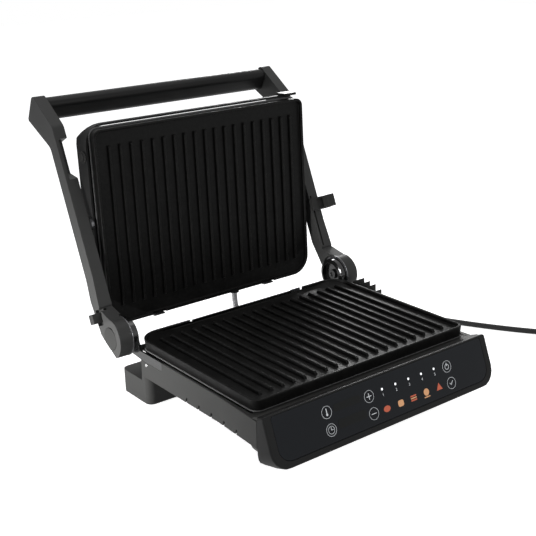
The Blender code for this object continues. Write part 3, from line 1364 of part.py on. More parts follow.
def smooth_route(places, spacing):
    """Points at an even spacing along a Catmull-Rom curve through the places."""
    ends = [places[0] * 2 - places[1], *places, places[-1] * 2 - places[-2]]
    fine = []
    for a, b, c, d in zip(ends, ends[1:], ends[2:], ends[3:]):
        for step in range(40):
            t = step / 40
            fine.append(0.5 * (
                b * 2 + (c - a) * t + (a * 2 - b * 5 + c * 4 - d) * t * t
                + (b * 3 - a - c * 3 + d) * t ** 3))
    fine.append(places[-1])
    lengths = [0.0]
    for before, after in zip(fine, fine[1:]):
        lengths.append(lengths[-1] + (after - before).length)
    count = round(lengths[-1] / spacing)
    points = []
    index = 0
    for number in range(count + 1):
        target = lengths[-1] * number / count
        while index < len(fine) - 2 and lengths[index + 1] < target:
            index += 1
        part = (target - lengths[index]) / (lengths[index + 1] - lengths[index])
        points.append(fine[index].lerp(fine[index + 1], part))
    return points, lengths[-1]


def coil_points(start, heading):
    """A steady helix that starts along the heading and turns to the right, with a straight tail.

    It climbs to the height at which the plug lies on the floor.
    """
    side = Vector((heading.y, -heading.x, 0))
    centre = start + heading * CORD_RADIUS * 2 + side * COIL_RADIUS
    points = [start]
    total = COIL_TURNS * COIL_POINTS
    climb = (FLOOR_Z + PLUG_RADIUS - start.z) / total
    for number in range(total + 1):
        angle = 2 * math.pi * number / COIL_POINTS
        flat = centre - side * COIL_RADIUS * math.cos(angle) + heading * COIL_RADIUS * math.sin(angle)
        points.append(flat + Vector((0, 0, climb * number)))
    points.append(points[-1] + heading * COIL_TAIL)
    return points


def turned(profile, segments):
    """A round solid about Y from a profile of (radius, place) pairs that starts and ends on Y."""
    shape = bmesh.new()
    line = [shape.verts.new((radius, place, 0)) for radius, place in profile]
    edges = [shape.edges.new(pair) for pair in zip(line, line[1:])]
    bmesh.ops.spin(
        shape, geom=line + edges, cent=(0, 0, 0), axis=(0, 1, 0), angle=math.pi * 2, steps=segments)
    bmesh.ops.remove_doubles(shape, verts=shape.verts, dist=WELD)
    return finish_mesh("turned", shape)


def least_self_gap(points, radius, skip):
    least = None
    for first in range(len(points)):
        for second in range(first + skip, len(points)):
            gap = (points[first] - points[second]).length - radius * 2
            least = gap if least is None else min(least, gap)
    return least


def make_cord():
    start = REAR_BODY_Y - BASE_WALL - CLEARANCE
    across = (CORD_EXIT_X, -CORD_EXIT_DROP)
    tip = REAR_BODY_Y + GLAND_LENGTH
    gland = add_object(
        "cord_gland",
        cylinder("Y", GLAND_ROOT_RADIUS, REAR_BODY_Y + CLEARANCE, tip, across, GLAND_TIP_RADIUS, SMALL_SEGMENTS),
        RUBBER, GRILL)
    join(gland, cylinder(
        "Y", GLAND_TIP_RADIUS, start - GLAND_FLANGE, REAR_BODY_Y + GLAND_FLANGE, across, segments=SMALL_SEGMENTS))
    join(gland, cylinder(
        "Y", GLAND_ROOT_RADIUS, start - GLAND_FLANGE, start, across, segments=SMALL_SEGMENTS))
    first = Vector((CORD_EXIT_X, tip + CLEARANCE, -CORD_EXIT_DROP))
    lead = first + Vector((0, CORD_RADIUS * 2, 0))
    points, length = smooth_route([lead, *[Vector(place) for place in CORD_ROUTE]], CORD_POINT_SPACING)
    tube("power_cord", [first, *points], CORD_RADIUS, CORD_SKIN, GRILL, 3)
    heading = (points[-1] - points[-2]).normalized()
    heading = Vector((heading.x, heading.y, 0)).normalized()
    begin = points[-1] + heading * CLEARANCE
    loops = coil_points(begin, heading)
    tube("cord_coil", loops, CORD_RADIUS, CORD_SKIN, GRILL, 1)
    print("coil gap", round(least_self_gap(loops, CORD_RADIUS, COIL_POINTS // 2), 5))
    wound = sum((b - a).length for a, b in zip(loops, loops[1:]))
    print("cord length", round(length + wound, 3))
    make_plug(loops[-1] + heading * CLEARANCE, heading)


def make_plug(place, heading):
    """Plug drawn along +Y, turned to the heading."""
    turn = math.atan2(-heading.x, heading.y)
    root = PLUG_NECK_LENGTH + PLUG_LENGTH
    profile = ((0, 0), (PLUG_NECK_RADIUS, 0), (PLUG_RADIUS, PLUG_NECK_LENGTH), (PLUG_RADIUS, root), (0, root))
    plug = add_object("power_plug", turned(profile, SMALL_SEGMENTS), BLACK, GRILL, place)
    plug.rotation_euler = (0, 0, turn)
    frame = add_guide("plug_frame", place, (0, 0, turn), GRILL)
    for _, side in SIDES:
        join(plug, cylinder(
            "Y", PLUG_PIN_RADIUS, root - OVERRUN, root + PLUG_PIN_LENGTH, (side * PLUG_PIN_SPREAD, 0),
            segments=SMALL_SEGMENTS // 2), parent=frame)


make_cord()


# The middle of the grill, front to back, comes to the origin

def centre_grill():
    bpy.context.view_layer.update()
    graph = bpy.context.evaluated_depsgraph_get()
    places = []
    for name in ("front_fascia", "arm_left"):
        ready = bpy.data.objects[name].evaluated_get(graph)
        places += [(ready.matrix_world @ point.co).y for point in ready.data.vertices]
    GRILL.location.y = -(min(places) + max(places)) / 2
    bpy.context.view_layer.update()


centre_grill()
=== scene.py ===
import json
import math

import bmesh
import bpy
from mathutils import Matrix, Vector


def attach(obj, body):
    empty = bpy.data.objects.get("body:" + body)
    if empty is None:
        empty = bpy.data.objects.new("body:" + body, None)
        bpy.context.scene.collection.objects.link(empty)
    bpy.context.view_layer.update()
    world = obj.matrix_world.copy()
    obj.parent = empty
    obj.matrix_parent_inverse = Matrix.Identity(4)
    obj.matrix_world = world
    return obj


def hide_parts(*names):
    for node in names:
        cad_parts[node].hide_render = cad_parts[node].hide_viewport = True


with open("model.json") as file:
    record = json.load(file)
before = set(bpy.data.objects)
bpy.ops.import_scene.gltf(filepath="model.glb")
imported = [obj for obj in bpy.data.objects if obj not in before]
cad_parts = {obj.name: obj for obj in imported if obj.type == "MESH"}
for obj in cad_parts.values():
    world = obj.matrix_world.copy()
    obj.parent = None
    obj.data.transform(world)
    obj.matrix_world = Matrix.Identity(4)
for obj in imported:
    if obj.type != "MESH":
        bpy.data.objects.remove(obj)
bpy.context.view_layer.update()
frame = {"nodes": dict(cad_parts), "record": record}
scene = bpy.context.scene

# Where the CAD frames stand: plate rim, lid hinge, floating pivot, upper housing, sloping panel; metres
gridPlace = (0, -0.173501, 0.0755)
hingePlace = (0, 0.2248, -0.0009)
pivotPlace = (0, -0.129, 0.016)
housingPlace = (0, -0.1057, -0.0171)
panelPlace = (0, -0.0217, -0.0057)
openAngle = math.radians(112.94)
carrierAngle = math.radians(92.58)
panelTilt = math.radians(20.9)


def stand(place, turn=0.0, axis="X"):    # a place, then a turn about one of its own axes
    return Matrix.Translation(place) @ Matrix.Rotation(turn, 4, axis)


gridToWorld = stand(gridPlace)
lidToWorld = gridToWorld @ stand(hingePlace, -openAngle)
carrierToWorld = lidToWorld @ stand(pivotPlace, openAngle - carrierAngle)
housingToWorld = carrierToWorld @ stand(housingPlace)
upperToWorld = housingToWorld @ stand((0, 0, 0), math.pi, "Y")
panelToWorld = gridToWorld @ stand(panelPlace, math.pi / 2 - panelTilt)

# Camera fitted to the photograph: angles in radians, place in metres from the plate's rim

cameraSizes = {
    "focalPixels": 1033.89, "framePixels": 536, "sensor": 36,
    "azimuth": -0.658468536, "elevation": 0.333332076, "roll": -0.0213977789,
    "place": (-0.102607931, 0.0947411251, 1.06121225), "nearest": 0.05, "farthest": 50,
}


def makeCamera():
    size = cameraSizes
    azimuth, elevation, roll = size["azimuth"], size["elevation"], size["roll"]
    right = Vector((math.cos(azimuth), math.sin(azimuth), 0))
    ahead = Vector((-math.sin(azimuth), math.cos(azimuth), 0))
    back = Vector((0, 0, math.sin(elevation))) - ahead * math.cos(elevation)
    up = back.cross(right)
    turn = Matrix((
        math.cos(roll) * right + math.sin(roll) * up, math.cos(roll) * up - math.sin(roll) * right, back))
    data = bpy.data.cameras.new("camera")
    data.sensor_width = size["sensor"]
    data.lens = size["focalPixels"] * size["sensor"] / size["framePixels"]
    data.clip_start = size["nearest"]
    data.clip_end = size["farthest"]
    camera = bpy.data.objects.new("camera", data)
    scene.collection.objects.link(camera)
    place = turn.transposed().to_4x4()
    place.translation = turn.transposed() @ Vector(size["place"])
    camera.matrix_world = gridToWorld @ place
    scene.camera = camera
    print("camera", [round(v, 4) for v in camera.matrix_world.translation])


makeCamera()


# Shader maths on node sockets

class Sock:
    def __init__(self, tree, socket):
        self.tree, self.socket = tree, socket

    def math(self, operation, first, second=None):
        node = self.tree.nodes.new("ShaderNodeMath")
        node.operation = operation
        for entry, value in zip(node.inputs, (first, second)):
            if isinstance(value, Sock):
                self.tree.links.new(value.socket, entry)
            elif value is not None:
                entry.default_value = value
        return Sock(self.tree, node.outputs[0])

    def __add__(self, other):
        return self.math("ADD", self, other)

    def __radd__(self, other):
        return self.math("ADD", other, self)

    def __sub__(self, other):
        return self.math("SUBTRACT", self, other)

    def __rsub__(self, other):
        return self.math("SUBTRACT", other, self)

    def __mul__(self, other):
        return self.math("MULTIPLY", self, other)

    def __rmul__(self, other):
        return self.math("MULTIPLY", other, self)


class NodeTree:
    def __init__(self, tree):
        self.tree = tree

    def node(self, kind, settings=None, inputs=None, out=0):    # settings first, then values or links
        node = self.tree.nodes.new(kind)
        for name, value in (settings or {}).items():
            setattr(node, name, value)
        for name, value in (inputs or {}).items():
            if isinstance(value, Sock):
                self.tree.links.new(value.socket, node.inputs[name])
            else:
                node.inputs[name].default_value = value
        return Sock(self.tree, node.outputs[out])

    def finishWith(self, output, plain, shown):    # plain as light, shown to the camera and in reflections
        seen = None
        for name in ("Is Camera Ray", "Is Glossy Ray", "Is Transmission Ray"):
            ray = self.node("ShaderNodeLightPath", out=name)
            seen = ray if seen is None else seen.math("MAXIMUM", seen, ray)
        mixed = self.node("ShaderNodeMixShader", None, {0: seen, 1: plain, 2: shown})
        self.tree.links.new(mixed.socket, self.tree.nodes[output].inputs["Surface"])


class Finish(NodeTree):
    def __init__(self, name, colour, roughness, metallic=0.0, specular=0.2):
        self.material = bpy.data.materials.new(name)
        self.material.use_nodes = True
        super().__init__(self.material.node_tree)
        self.shader = self.tree.nodes["Principled BSDF"]
        self.shader.inputs["Base Color"].default_value = (*colour, 1)
        self.shader.inputs["Roughness"].default_value = roughness
        self.shader.inputs["Metallic"].default_value = metallic
        self.shader.inputs["Specular IOR Level"].default_value = specular
        self.place = self.node("ShaderNodeTexCoord", out="Object")

    def feed(self, socket, value):
        self.tree.links.new(value.socket, self.shader.inputs[socket])

    def noise(self, scale, detail=2.0, roughness=0.5, stretch=(1, 1, 1)):
        place = self.node("ShaderNodeMapping", None, {"Vector": self.place, "Scale": stretch})
        return self.node("ShaderNodeTexNoise", None, {
            "Vector": place, "Scale": scale, "Detail": detail, "Roughness": roughness})

    def cells(self, scale):
        return self.node("ShaderNodeTexVoronoi", None, {"Vector": self.place, "Scale": scale})

    def step(self, source, low, high, start=0.0, end=1.0):
        return self.node("ShaderNodeMapRange", {"interpolation_type": "SMOOTHSTEP"}, {
            "Value": source, "From Min": low, "From Max": high, "To Min": start, "To Max": end})

    def blendColour(self, mask, first, second):
        return self.node("ShaderNodeMix", {"data_type": "RGBA"}, {
            "Factor": mask, 6: first if isinstance(first, Sock) else (*first, 1),
            7: second if isinstance(second, Sock) else (*second, 1)}, 2)

    def along(self, direction):    # distance along a direction, metres
        return self.node("ShaderNodeVectorMath", {"operation": "DOT_PRODUCT"}, {
            0: self.place, 1: tuple(direction)}, "Value")

    def bump(self, height, strength, depth):
        self.feed("Normal", self.node("ShaderNodeBump", None, {
            "Strength": strength, "Distance": depth, "Height": height}, "Normal"))

    def mottle(self, mask, band, darker, lighter):    # colour between two shades where the mask rises
        self.feed("Base Color", self.blendColour(self.step(mask, *band), darker, lighter))

    def wear(self, mask, smoother, rougher):    # roughness between two values
        self.feed("Roughness", self.step(mask, *wearBand, smoother, rougher))


def shade(base, factor):
    return tuple(channel * factor for channel in base)


# Finishes: noise scales are per metre, bump depths in metres, bands are shares of a mask's range

shadeBand = (0.3, 0.7)
wearBand = (0.35, 0.65)

plasticSizes = {
    "patchScale": 18.0, "patchDetail": 3.0, "patchDarker": 0.92, "patchLighter": 1.08,
    "roughSpread": 0.06, "grainStrength": 0.35,
}


def mouldedPlastic(name, colour, roughness, specular=0.1, grain=900.0, depth=0.00004):
    size = plasticSizes
    half = size["roughSpread"] / 2
    made = Finish(name, colour, roughness, specular=specular)
    fine = made.noise(grain)
    patches = made.noise(size["patchScale"], size["patchDetail"])
    made.wear(patches, roughness - half, roughness + half)
    made.mottle(patches, shadeBand, shade(colour, size["patchDarker"]), shade(colour, size["patchLighter"]))
    made.bump(fine, size["grainStrength"], depth)
    return made.material


coating = {
    "colour": (0.0050, 0.0050, 0.0048), "roughness": 0.42, "roughSpread": 0.10, "specular": 0.08,
    "speckScale": 260.0, "speckDetail": 4.0, "speckRoughness": 0.6, "speckBand": (0.4, 0.72),
    "speckDarker": 0.8, "speckLighter": 1.4, "patchScale": 60.0,
    # from the crown height on: a painted highlight, lighter coating in specks on the ribs' tops and the rim
    "crown": -0.0015, "crownFade": 0.0006, "sheenSpeckBand": (0.35, 0.7), "sheenShare": 0.35, "sheenLighter": 2.4,
    "pebbleScale": 900.0, "pebbleShare": 0.5, "bumpStrength": 0.5, "bumpDepth": 0.00006,
}


def nonStickCoating(name, plateToWorld):    # pebbled dark coating, with a painted highlight along the ribs' crowns and the rim's top, broken up by its specks
    size = coating
    colour, roughness, half = size["colour"], size["roughness"], size["roughSpread"] / 2
    darker, lighter = shade(colour, size["speckDarker"]), shade(colour, size["speckLighter"])
    made = Finish(name, colour, roughness, specular=size["specular"])
    up = plateToWorld.to_3x3() @ Vector((0, 0, 1))
    height = made.along(up) - up.dot(plateToWorld.translation)
    specks = made.noise(size["speckScale"], size["speckDetail"], size["speckRoughness"])
    crown = made.step(height, size["crown"] - size["crownFade"], size["crown"])
    # painted highlight: the coating is made lighter in specks above the crown height, on the ribs' tops and
    # the rim
    crownSheen = crown * made.step(specks, *size["sheenSpeckBand"]) * size["sheenShare"]
    coat = made.blendColour(made.step(specks, *size["speckBand"]), darker, lighter)
    made.feed("Base Color", made.blendColour(crownSheen, coat, shade(colour, size["sheenLighter"])))
    made.wear(made.noise(size["patchScale"]), roughness - half, roughness + half)
    pebbles = made.cells(size["pebbleScale"]) * size["pebbleShare"] + specks
    made.bump(pebbles, size["bumpStrength"], size["bumpDepth"])
    return made.material


metalSizes = {
    "specular": 0.3, "streakDarker": 0.85, "streakLighter": 1.08, "smoother": 0.75, "rougher": 1.3,
    "bumpStrength": 0.25, "bumpDepth": 0.00003,
}


def brushedMetal(name, colour, roughness, stretch=(1, 1, 1), grain=700.0, metallic=0.9):
    size = metalSizes
    made = Finish(name, colour, roughness, metallic, size["specular"])
    streaks = made.noise(grain, stretch=stretch)
    made.wear(streaks, roughness * size["smoother"], roughness * size["rougher"])
    made.mottle(streaks, shadeBand, shade(colour, size["streakDarker"]), shade(colour, size["streakLighter"]))
    made.bump(streaks, size["bumpStrength"], size["bumpDepth"])
    return made.material


glass = {
    "colour": (0.0045, 0.0062, 0.0090), "roughness": 0.10, "specular": 0.15,
    "smearScale": 9.0, "smearDetail": 3.0, "smearSmoother": 0.08, "smearRougher": 0.14,
    "smearDarker": 0.95, "smearLighter": 1.06,
}


def controlGlass():    # dark glass with faint wiped smears
    size = glass
    colour = size["colour"]
    made = Finish("controlGlass", colour, size["roughness"], specular=size["specular"])
    smears = made.noise(size["smearScale"], size["smearDetail"])
    made.wear(smears, size["smearSmoother"], size["smearRougher"])
    made.mottle(smears, shadeBand, shade(colour, size["smearDarker"]), shade(colour, size["smearLighter"]))
    return made.material


inkSizes = {"roughness": 0.5, "specular": 0.1, "speckScale": 1400.0, "speckDarker": 0.9, "speckLighter": 1.05}


def printedInk(name, colour, glow):    # lit a little from behind
    size = inkSizes
    made = Finish(name, colour, size["roughness"], specular=size["specular"])
    specks = made.noise(size["speckScale"])
    made.mottle(specks, shadeBand, shade(colour, size["speckDarker"]), shade(colour, size["speckLighter"]))
    made.shader.inputs["Emission Color"].default_value = (*colour, 1)
    made.shader.inputs["Emission Strength"].default_value = glow
    return made.material


hoseSizes = {
    "colour": (0.30, 0.30, 0.31), "roughness": 0.3, "metallic": 0.85, "specular": 0.3,
    # painted shade in the grooves and a painted highlight on the crests of the rings
    "ringScale": 190.0, "ringBand": (0.2, 0.8), "grooveShade": 0.3, "crestHighlight": 1.25,
    "speckScale": 300.0, "speckSmoother": 0.24, "speckRougher": 0.4, "bumpStrength": 0.6, "bumpDepth": 0.0005,
}


def hoseMetal():    # ringed metal hose, with painted shade in the grooves and a painted highlight on the crests
    size = hoseSizes
    colour = size["colour"]
    groove, crest = shade(colour, size["grooveShade"]), shade(colour, size["crestHighlight"])
    made = Finish("hoseMetal", colour, size["roughness"], size["metallic"], size["specular"])
    rings = made.node("ShaderNodeTexWave", {"bands_direction": "Z"}, {
        "Vector": made.place, "Scale": size["ringScale"], "Distortion": 0.0}, "Fac")
    # painted shade and highlight: the colour runs from dark in the grooves to light on the crests
    made.mottle(rings, size["ringBand"], groove, crest)
    made.wear(made.noise(size["speckScale"]), size["speckSmoother"], size["speckRougher"])
    made.bump(rings, size["bumpStrength"], size["bumpDepth"])
    return made.material


def grey(level):
    return (level, level, level)


charcoal = mouldedPlastic("charcoalPlastic", (0.028, 0.028, 0.027), 0.44)
armPlastic = mouldedPlastic("armPlastic", (0.046, 0.046, 0.045), 0.44)
blackPlastic = mouldedPlastic("blackPlastic", grey(0.008), 0.36)
cupPlastic = mouldedPlastic("cupPlastic", grey(0.007), 0.16, specular=0.5)
bezelPlastic = mouldedPlastic("bezelPlastic", grey(0.009), 0.40)
handlePlastic = mouldedPlastic("handlePlastic", grey(0.010), 0.40, specular=0.12)
shellPlastic = mouldedPlastic("shellPlastic", grey(0.020), 0.42)
lowerCoating = nonStickCoating("lowerCoating", gridToWorld)
upperCoating = nonStickCoating("upperCoating", upperToWorld)
machinedEdge = brushedMetal("machinedEdge", grey(0.11), 0.5, grain=400.0, metallic=0.12)
steel = brushedMetal("brightSteel", (0.13, 0.13, 0.135), 0.34)
screwSteel = brushedMetal("screwSteel", grey(0.55), 0.24)
hingeScrewSteel = brushedMetal("hingeScrewSteel", grey(0.05), 0.3)
tinned = brushedMetal("tinnedSheet", (0.42, 0.42, 0.43), 0.38, stretch=(1, 0.1, 1))
hose = hoseMetal()
rubber = mouldedPlastic("blackRubber", grey(0.014), 0.72, grain=500.0)
cordRubber = mouldedPlastic("cordRubber", grey(0.020), 0.55, specular=0.2, grain=1200.0)
boardGreen = mouldedPlastic("circuitBoard", (0.015, 0.10, 0.04), 0.45, specular=0.3, grain=200.0)
panelGlass = controlGlass()
displayGlass = mouldedPlastic(
    "displayWindow", (0.0080, 0.0088, 0.0085), 0.12, specular=0.13, grain=60.0, depth=0.000002)
whiteInk = printedInk("whiteInk", (0.62, 0.64, 0.66), 0.25)
indicatorLight = printedInk("indicatorLight", (0.86, 0.88, 0.90), 0.8)
redInk = printedInk("redInk", (0.50, 0.12, 0.07), 0.3)
orangeInk = printedInk("orangeInk", (0.62, 0.33, 0.17), 0.35)
print("finishes ready")

slotFinish = {
    "charcoal_plastic": charcoal, "black_plastic": blackPlastic, "plug_plastic": blackPlastic,
    "non_stick": lowerCoating, "panel_glass": panelGlass, "bright_steel": steel, "tinned_sheet": tinned,
    "black_rubber": rubber, "circuit_board": boardGreen,
}
nodeFinish = {"touch_glass": panelGlass, "conduit": hose}
nodeSlot = {entry["node"]: entry["material_slot"] for entry in frame["record"]["subparts"]}


def paint(piece, material):
    piece.data.materials.clear()
    piece.data.materials.append(material)


for nodeName, slotName in nodeSlot.items():
    paint(frame["nodes"][nodeName], nodeFinish.get(nodeName, slotFinish[slotName]))


# Modelling helpers: what is held, what is picked, how it is finished

meshing = {
    "creaseAngle": 35, "roundingSteps": 2, "mergeDistance": 0.00001, "near": 0.0001,
    "solidMergeDistance": 0.00002, "flatAngle": 0.6, "facingUp": 0.9,
}

def hold(piece):
    if bpy.context.mode != "OBJECT":
        bpy.ops.object.mode_set(mode="OBJECT")
    bpy.ops.object.select_all(action="DESELECT")
    piece.select_set(True)
    bpy.context.view_layer.objects.active = piece


def openMesh(piece, mode="FACE"):
    hold(piece)
    bpy.ops.object.mode_set(mode="EDIT")
    bpy.ops.mesh.select_mode(type=mode)
    bpy.ops.mesh.select_all(action="DESELECT")


def pickFaces(piece, test):
    shape = bmesh.from_edit_mesh(piece.data)
    for face in shape.faces:
        face.select_set(bool(test(face.calc_center_median(), face.normal)))
    bmesh.update_edit_mesh(piece.data)


def pickEdges(piece, test):
    shape = bmesh.from_edit_mesh(piece.data)
    for edge in shape.edges:
        first, second = edge.verts
        edge.select_set(bool(test(first.co, second.co)))
    bmesh.update_edit_mesh(piece.data)


def closeMesh(piece, angle=meshing["creaseAngle"]):
    bpy.ops.mesh.select_all(action="SELECT")
    bpy.ops.mesh.remove_doubles(threshold=meshing["mergeDistance"])
    bpy.ops.mesh.normals_make_consistent(inside=False)
    bpy.ops.object.mode_set(mode="OBJECT")
    hold(piece)
    bpy.ops.object.shade_smooth_by_angle(angle=math.radians(angle))


def addRounding(piece, width):
    hold(piece)
    rounding = piece.modifiers.new("rounding", "BEVEL")
    rounding.width = width
    rounding.segments = meshing["roundingSteps"]
    rounding.limit_method = "ANGLE"
    rounding.angle_limit = math.radians(meshing["creaseAngle"])
    rounding.use_clamp_overlap = True
    bpy.ops.object.modifier_apply(modifier="rounding")


def evenNormals(piece, angle=meshing["creaseAngle"]):
    hold(piece)
    bpy.ops.object.shade_smooth_by_angle(angle=math.radians(angle))
    piece.modifiers.new("evenNormals", "WEIGHTED_NORMAL").keep_sharp = True
    bpy.ops.object.modifier_apply(modifier="evenNormals")


def settle(piece):    # the place goes into the mesh
    hold(piece)
    bpy.ops.object.transform_apply(location=True, rotation=True, scale=True)


def moveTo(piece, matrix):
    piece.matrix_world = matrix @ piece.matrix_world
    settle(piece)


def joinAll(pieces, name):
    hold(pieces[0])
    for piece in pieces[1:]:
        piece.select_set(True)
    bpy.ops.object.join()
    pieces[0].name = name
    return pieces[0]


def dress(piece, body, material, slotName, *nodes):
    paint(piece, material)
    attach(piece, body)
    if nodes:
        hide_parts(*nodes)


def turnedPiece(name, centre, axis, steps, points):    # steps: (distance along the axis, radius)
    axis = Vector(axis).normalized()
    start, radius = steps[0]
    place = Vector(centre) + axis * start
    bpy.ops.mesh.primitive_circle_add(
        vertices=points, radius=radius, fill_type="NGON", location=place,
        rotation=axis.to_track_quat("Z", "Y").to_euler())
    piece = bpy.context.object
    piece.name = name
    settle(piece)
    openMesh(piece)
    bpy.ops.mesh.select_all(action="SELECT")
    for (before, radiusBefore), (after, radiusAfter) in zip(steps, steps[1:]):
        bpy.ops.mesh.extrude_region_move(TRANSFORM_OT_translate={"value": axis * (after - before)})
        ratio = radiusAfter / radiusBefore
        bpy.ops.transform.resize(value=(ratio, ratio, ratio), center_override=Vector(centre) + axis * after)
    closeMesh(piece)
    return piece


# Power cord: the same route as its solids, then the coil and its straight tail

cordSizes = {
    "radius": 0.0035, "exit": (0.095, 0.2693, -0.048), "lead": 0.007, "spacing": 0.018, "floor": -0.0755,
    "coilRadius": 0.040, "turns": 2, "turnPoints": 24, "tail": 0.045, "plugRadius": 0.019,
    "fineSteps": 40, "curveSteps": 6, "roundSteps": 5,
    "route": (
        (0.0955, 0.286, -0.052), (0.101, 0.304, -0.060), (0.115, 0.320, -0.069), (0.140, 0.327, -0.0717),
        (0.175, 0.316, -0.0717), (0.208, 0.280, -0.0717), (0.235, 0.226, -0.0717), (0.260, 0.171, -0.0717),
        (0.284, 0.120, -0.0717), (0.311, 0.072, -0.0717), (0.340, 0.030, -0.0717), (0.368, 0.002, -0.0717)),
}


def cordRoute():
    size = cordSizes
    exitPlace = Vector(size["exit"])
    places = [exitPlace + Vector((0, size["lead"], 0)), *[Vector(place) for place in size["route"]]]
    ends = [places[0] * 2 - places[1], *places, places[-1] * 2 - places[-2]]
    fine = []
    for a, b, c, d in zip(ends, ends[1:], ends[2:], ends[3:]):
        for number in range(size["fineSteps"]):
            t = number / size["fineSteps"]
            fine.append(0.5 * (
                b * 2 + (c - a) * t + (a * 2 - b * 5 + c * 4 - d) * t * t + (b * 3 - a - c * 3 + d) * t ** 3))
    fine.append(places[-1])
    lengths = [0.0]
    for before, after in zip(fine, fine[1:]):
        lengths.append(lengths[-1] + (after - before).length)
    count = round(lengths[-1] / size["spacing"])
    points, index = [exitPlace], 0
    for number in range(count + 1):
        target = lengths[-1] * number / count
        while index < len(fine) - 2 and lengths[index + 1] < target:
            index += 1
        part = (target - lengths[index]) / (lengths[index + 1] - lengths[index])
        points.append(fine[index].lerp(fine[index + 1], part))
    heading = fine[-1] - fine[-2]
    heading = Vector((heading.x, heading.y, 0)).normalized()
    side = Vector((heading.y, -heading.x, 0))
    radius = size["coilRadius"]
    centre = points[-1] + heading * size["radius"] * 2 + side * radius
    total = size["turns"] * size["turnPoints"]
    climb = (size["floor"] + size["plugRadius"] - points[-1].z) / total
    for number in range(total + 1):
        angle = 2 * math.pi * number / size["turnPoints"]
        points.append(
            centre - side * radius * math.cos(angle) + heading * radius * math.sin(angle)
            + Vector((0, 0, climb * number)))
    points.append(points[-1] + heading * size["tail"])
    return [gridToWorld @ point for point in points]


def makeCord():
    points = cordRoute()
    bpy.ops.curve.primitive_bezier_curve_add()
    cord = bpy.context.object
    cord.name = "mainsCord"
    line = cord.data.splines[0]
    line.bezier_points.add(len(points) - 2)
    for knot, place in zip(line.bezier_points, points):
        knot.co = place
        knot.handle_left_type = knot.handle_right_type = "AUTO"
    cord.location = (0, 0, 0)
    cord.data.dimensions = "3D"
    cord.data.resolution_u = cordSizes["curveSteps"]
    cord.data.bevel_depth = cordSizes["radius"]
    cord.data.bevel_resolution = cordSizes["roundSteps"]
    cord.data.use_fill_caps = True
    length = sum((after - before).length for before, after in zip(points, points[1:]))
    dress(cord, "base", cordRubber, nodeSlot["power_cord"], "power_cord", "cord_coil")
    print("cord", len(points), "points", round(length, 3), "m")


makeCord()

glandSizes = {
    "x": 0.095, "z": -0.048, "wall": 0.2430, "root": 0.0085, "tip": 0.0050, "length": 0.026, "rings": 6,
    "inside": 0.0003, "collarEdge": 0.0012, "collar": 0.0040, "firstGroove": 0.0045, "ringless": 0.0050,
    "edgeShare": 0.97, "grooveShare": 0.86, "crestShare": 0.98, "rise": (0.35, 0.45, 0.9), "trim": 0.0001,
    "points": 32,
}


def makeGland():    # a collar, then a tapering sleeve with grooves between its rings
    size = glandSizes
    root, groove = size["root"], size["grooveShare"]
    steps = [(size["inside"], root * size["edgeShare"]), (size["collarEdge"], root), (size["collar"], root)]
    ringStep = (size["length"] - size["ringless"]) / size["rings"]
    grooveEnd, crestStart, crestEnd = [share * ringStep for share in size["rise"]]
    for number in range(size["rings"]):
        start = size["firstGroove"] + number * ringStep
        radius = root + (size["tip"] - root) * (start / size["length"])
        steps += [
            (start, radius * groove), (start + grooveEnd, radius * groove),
            (start + crestStart, radius), (start + crestEnd, radius * size["crestShare"])]
    steps.append((size["length"] - size["trim"], size["tip"] * groove))
    centre = gridToWorld @ Vector((size["x"], size["wall"], size["z"]))
    gland = turnedPiece("cordGrommet", centre, (0, 1, 0), steps, size["points"])
    dress(gland, "base", rubber, nodeSlot["cord_gland"], "cord_gland")


makeGland()
print("cord and grommet ready")


# Bodies taken over from their solids: merged, flats rejoined, edges rounded

def takeOver(node, name, body, material, rounding):
    piece = bpy.data.objects.new(name, frame["nodes"][node].data.copy())
    scene.collection.objects.link(piece)
    openMesh(piece)
    bpy.ops.mesh.select_all(action="SELECT")
    bpy.ops.mesh.remove_doubles(threshold=meshing["solidMergeDistance"])
    bpy.ops.mesh.dissolve_limited(angle_limit=math.radians(meshing["flatAngle"]))
    bpy.ops.object.mode_set(mode="OBJECT")
    addRounding(piece, rounding)
    evenNormals(piece)
    dress(piece, body, material, nodeSlot[node], node)


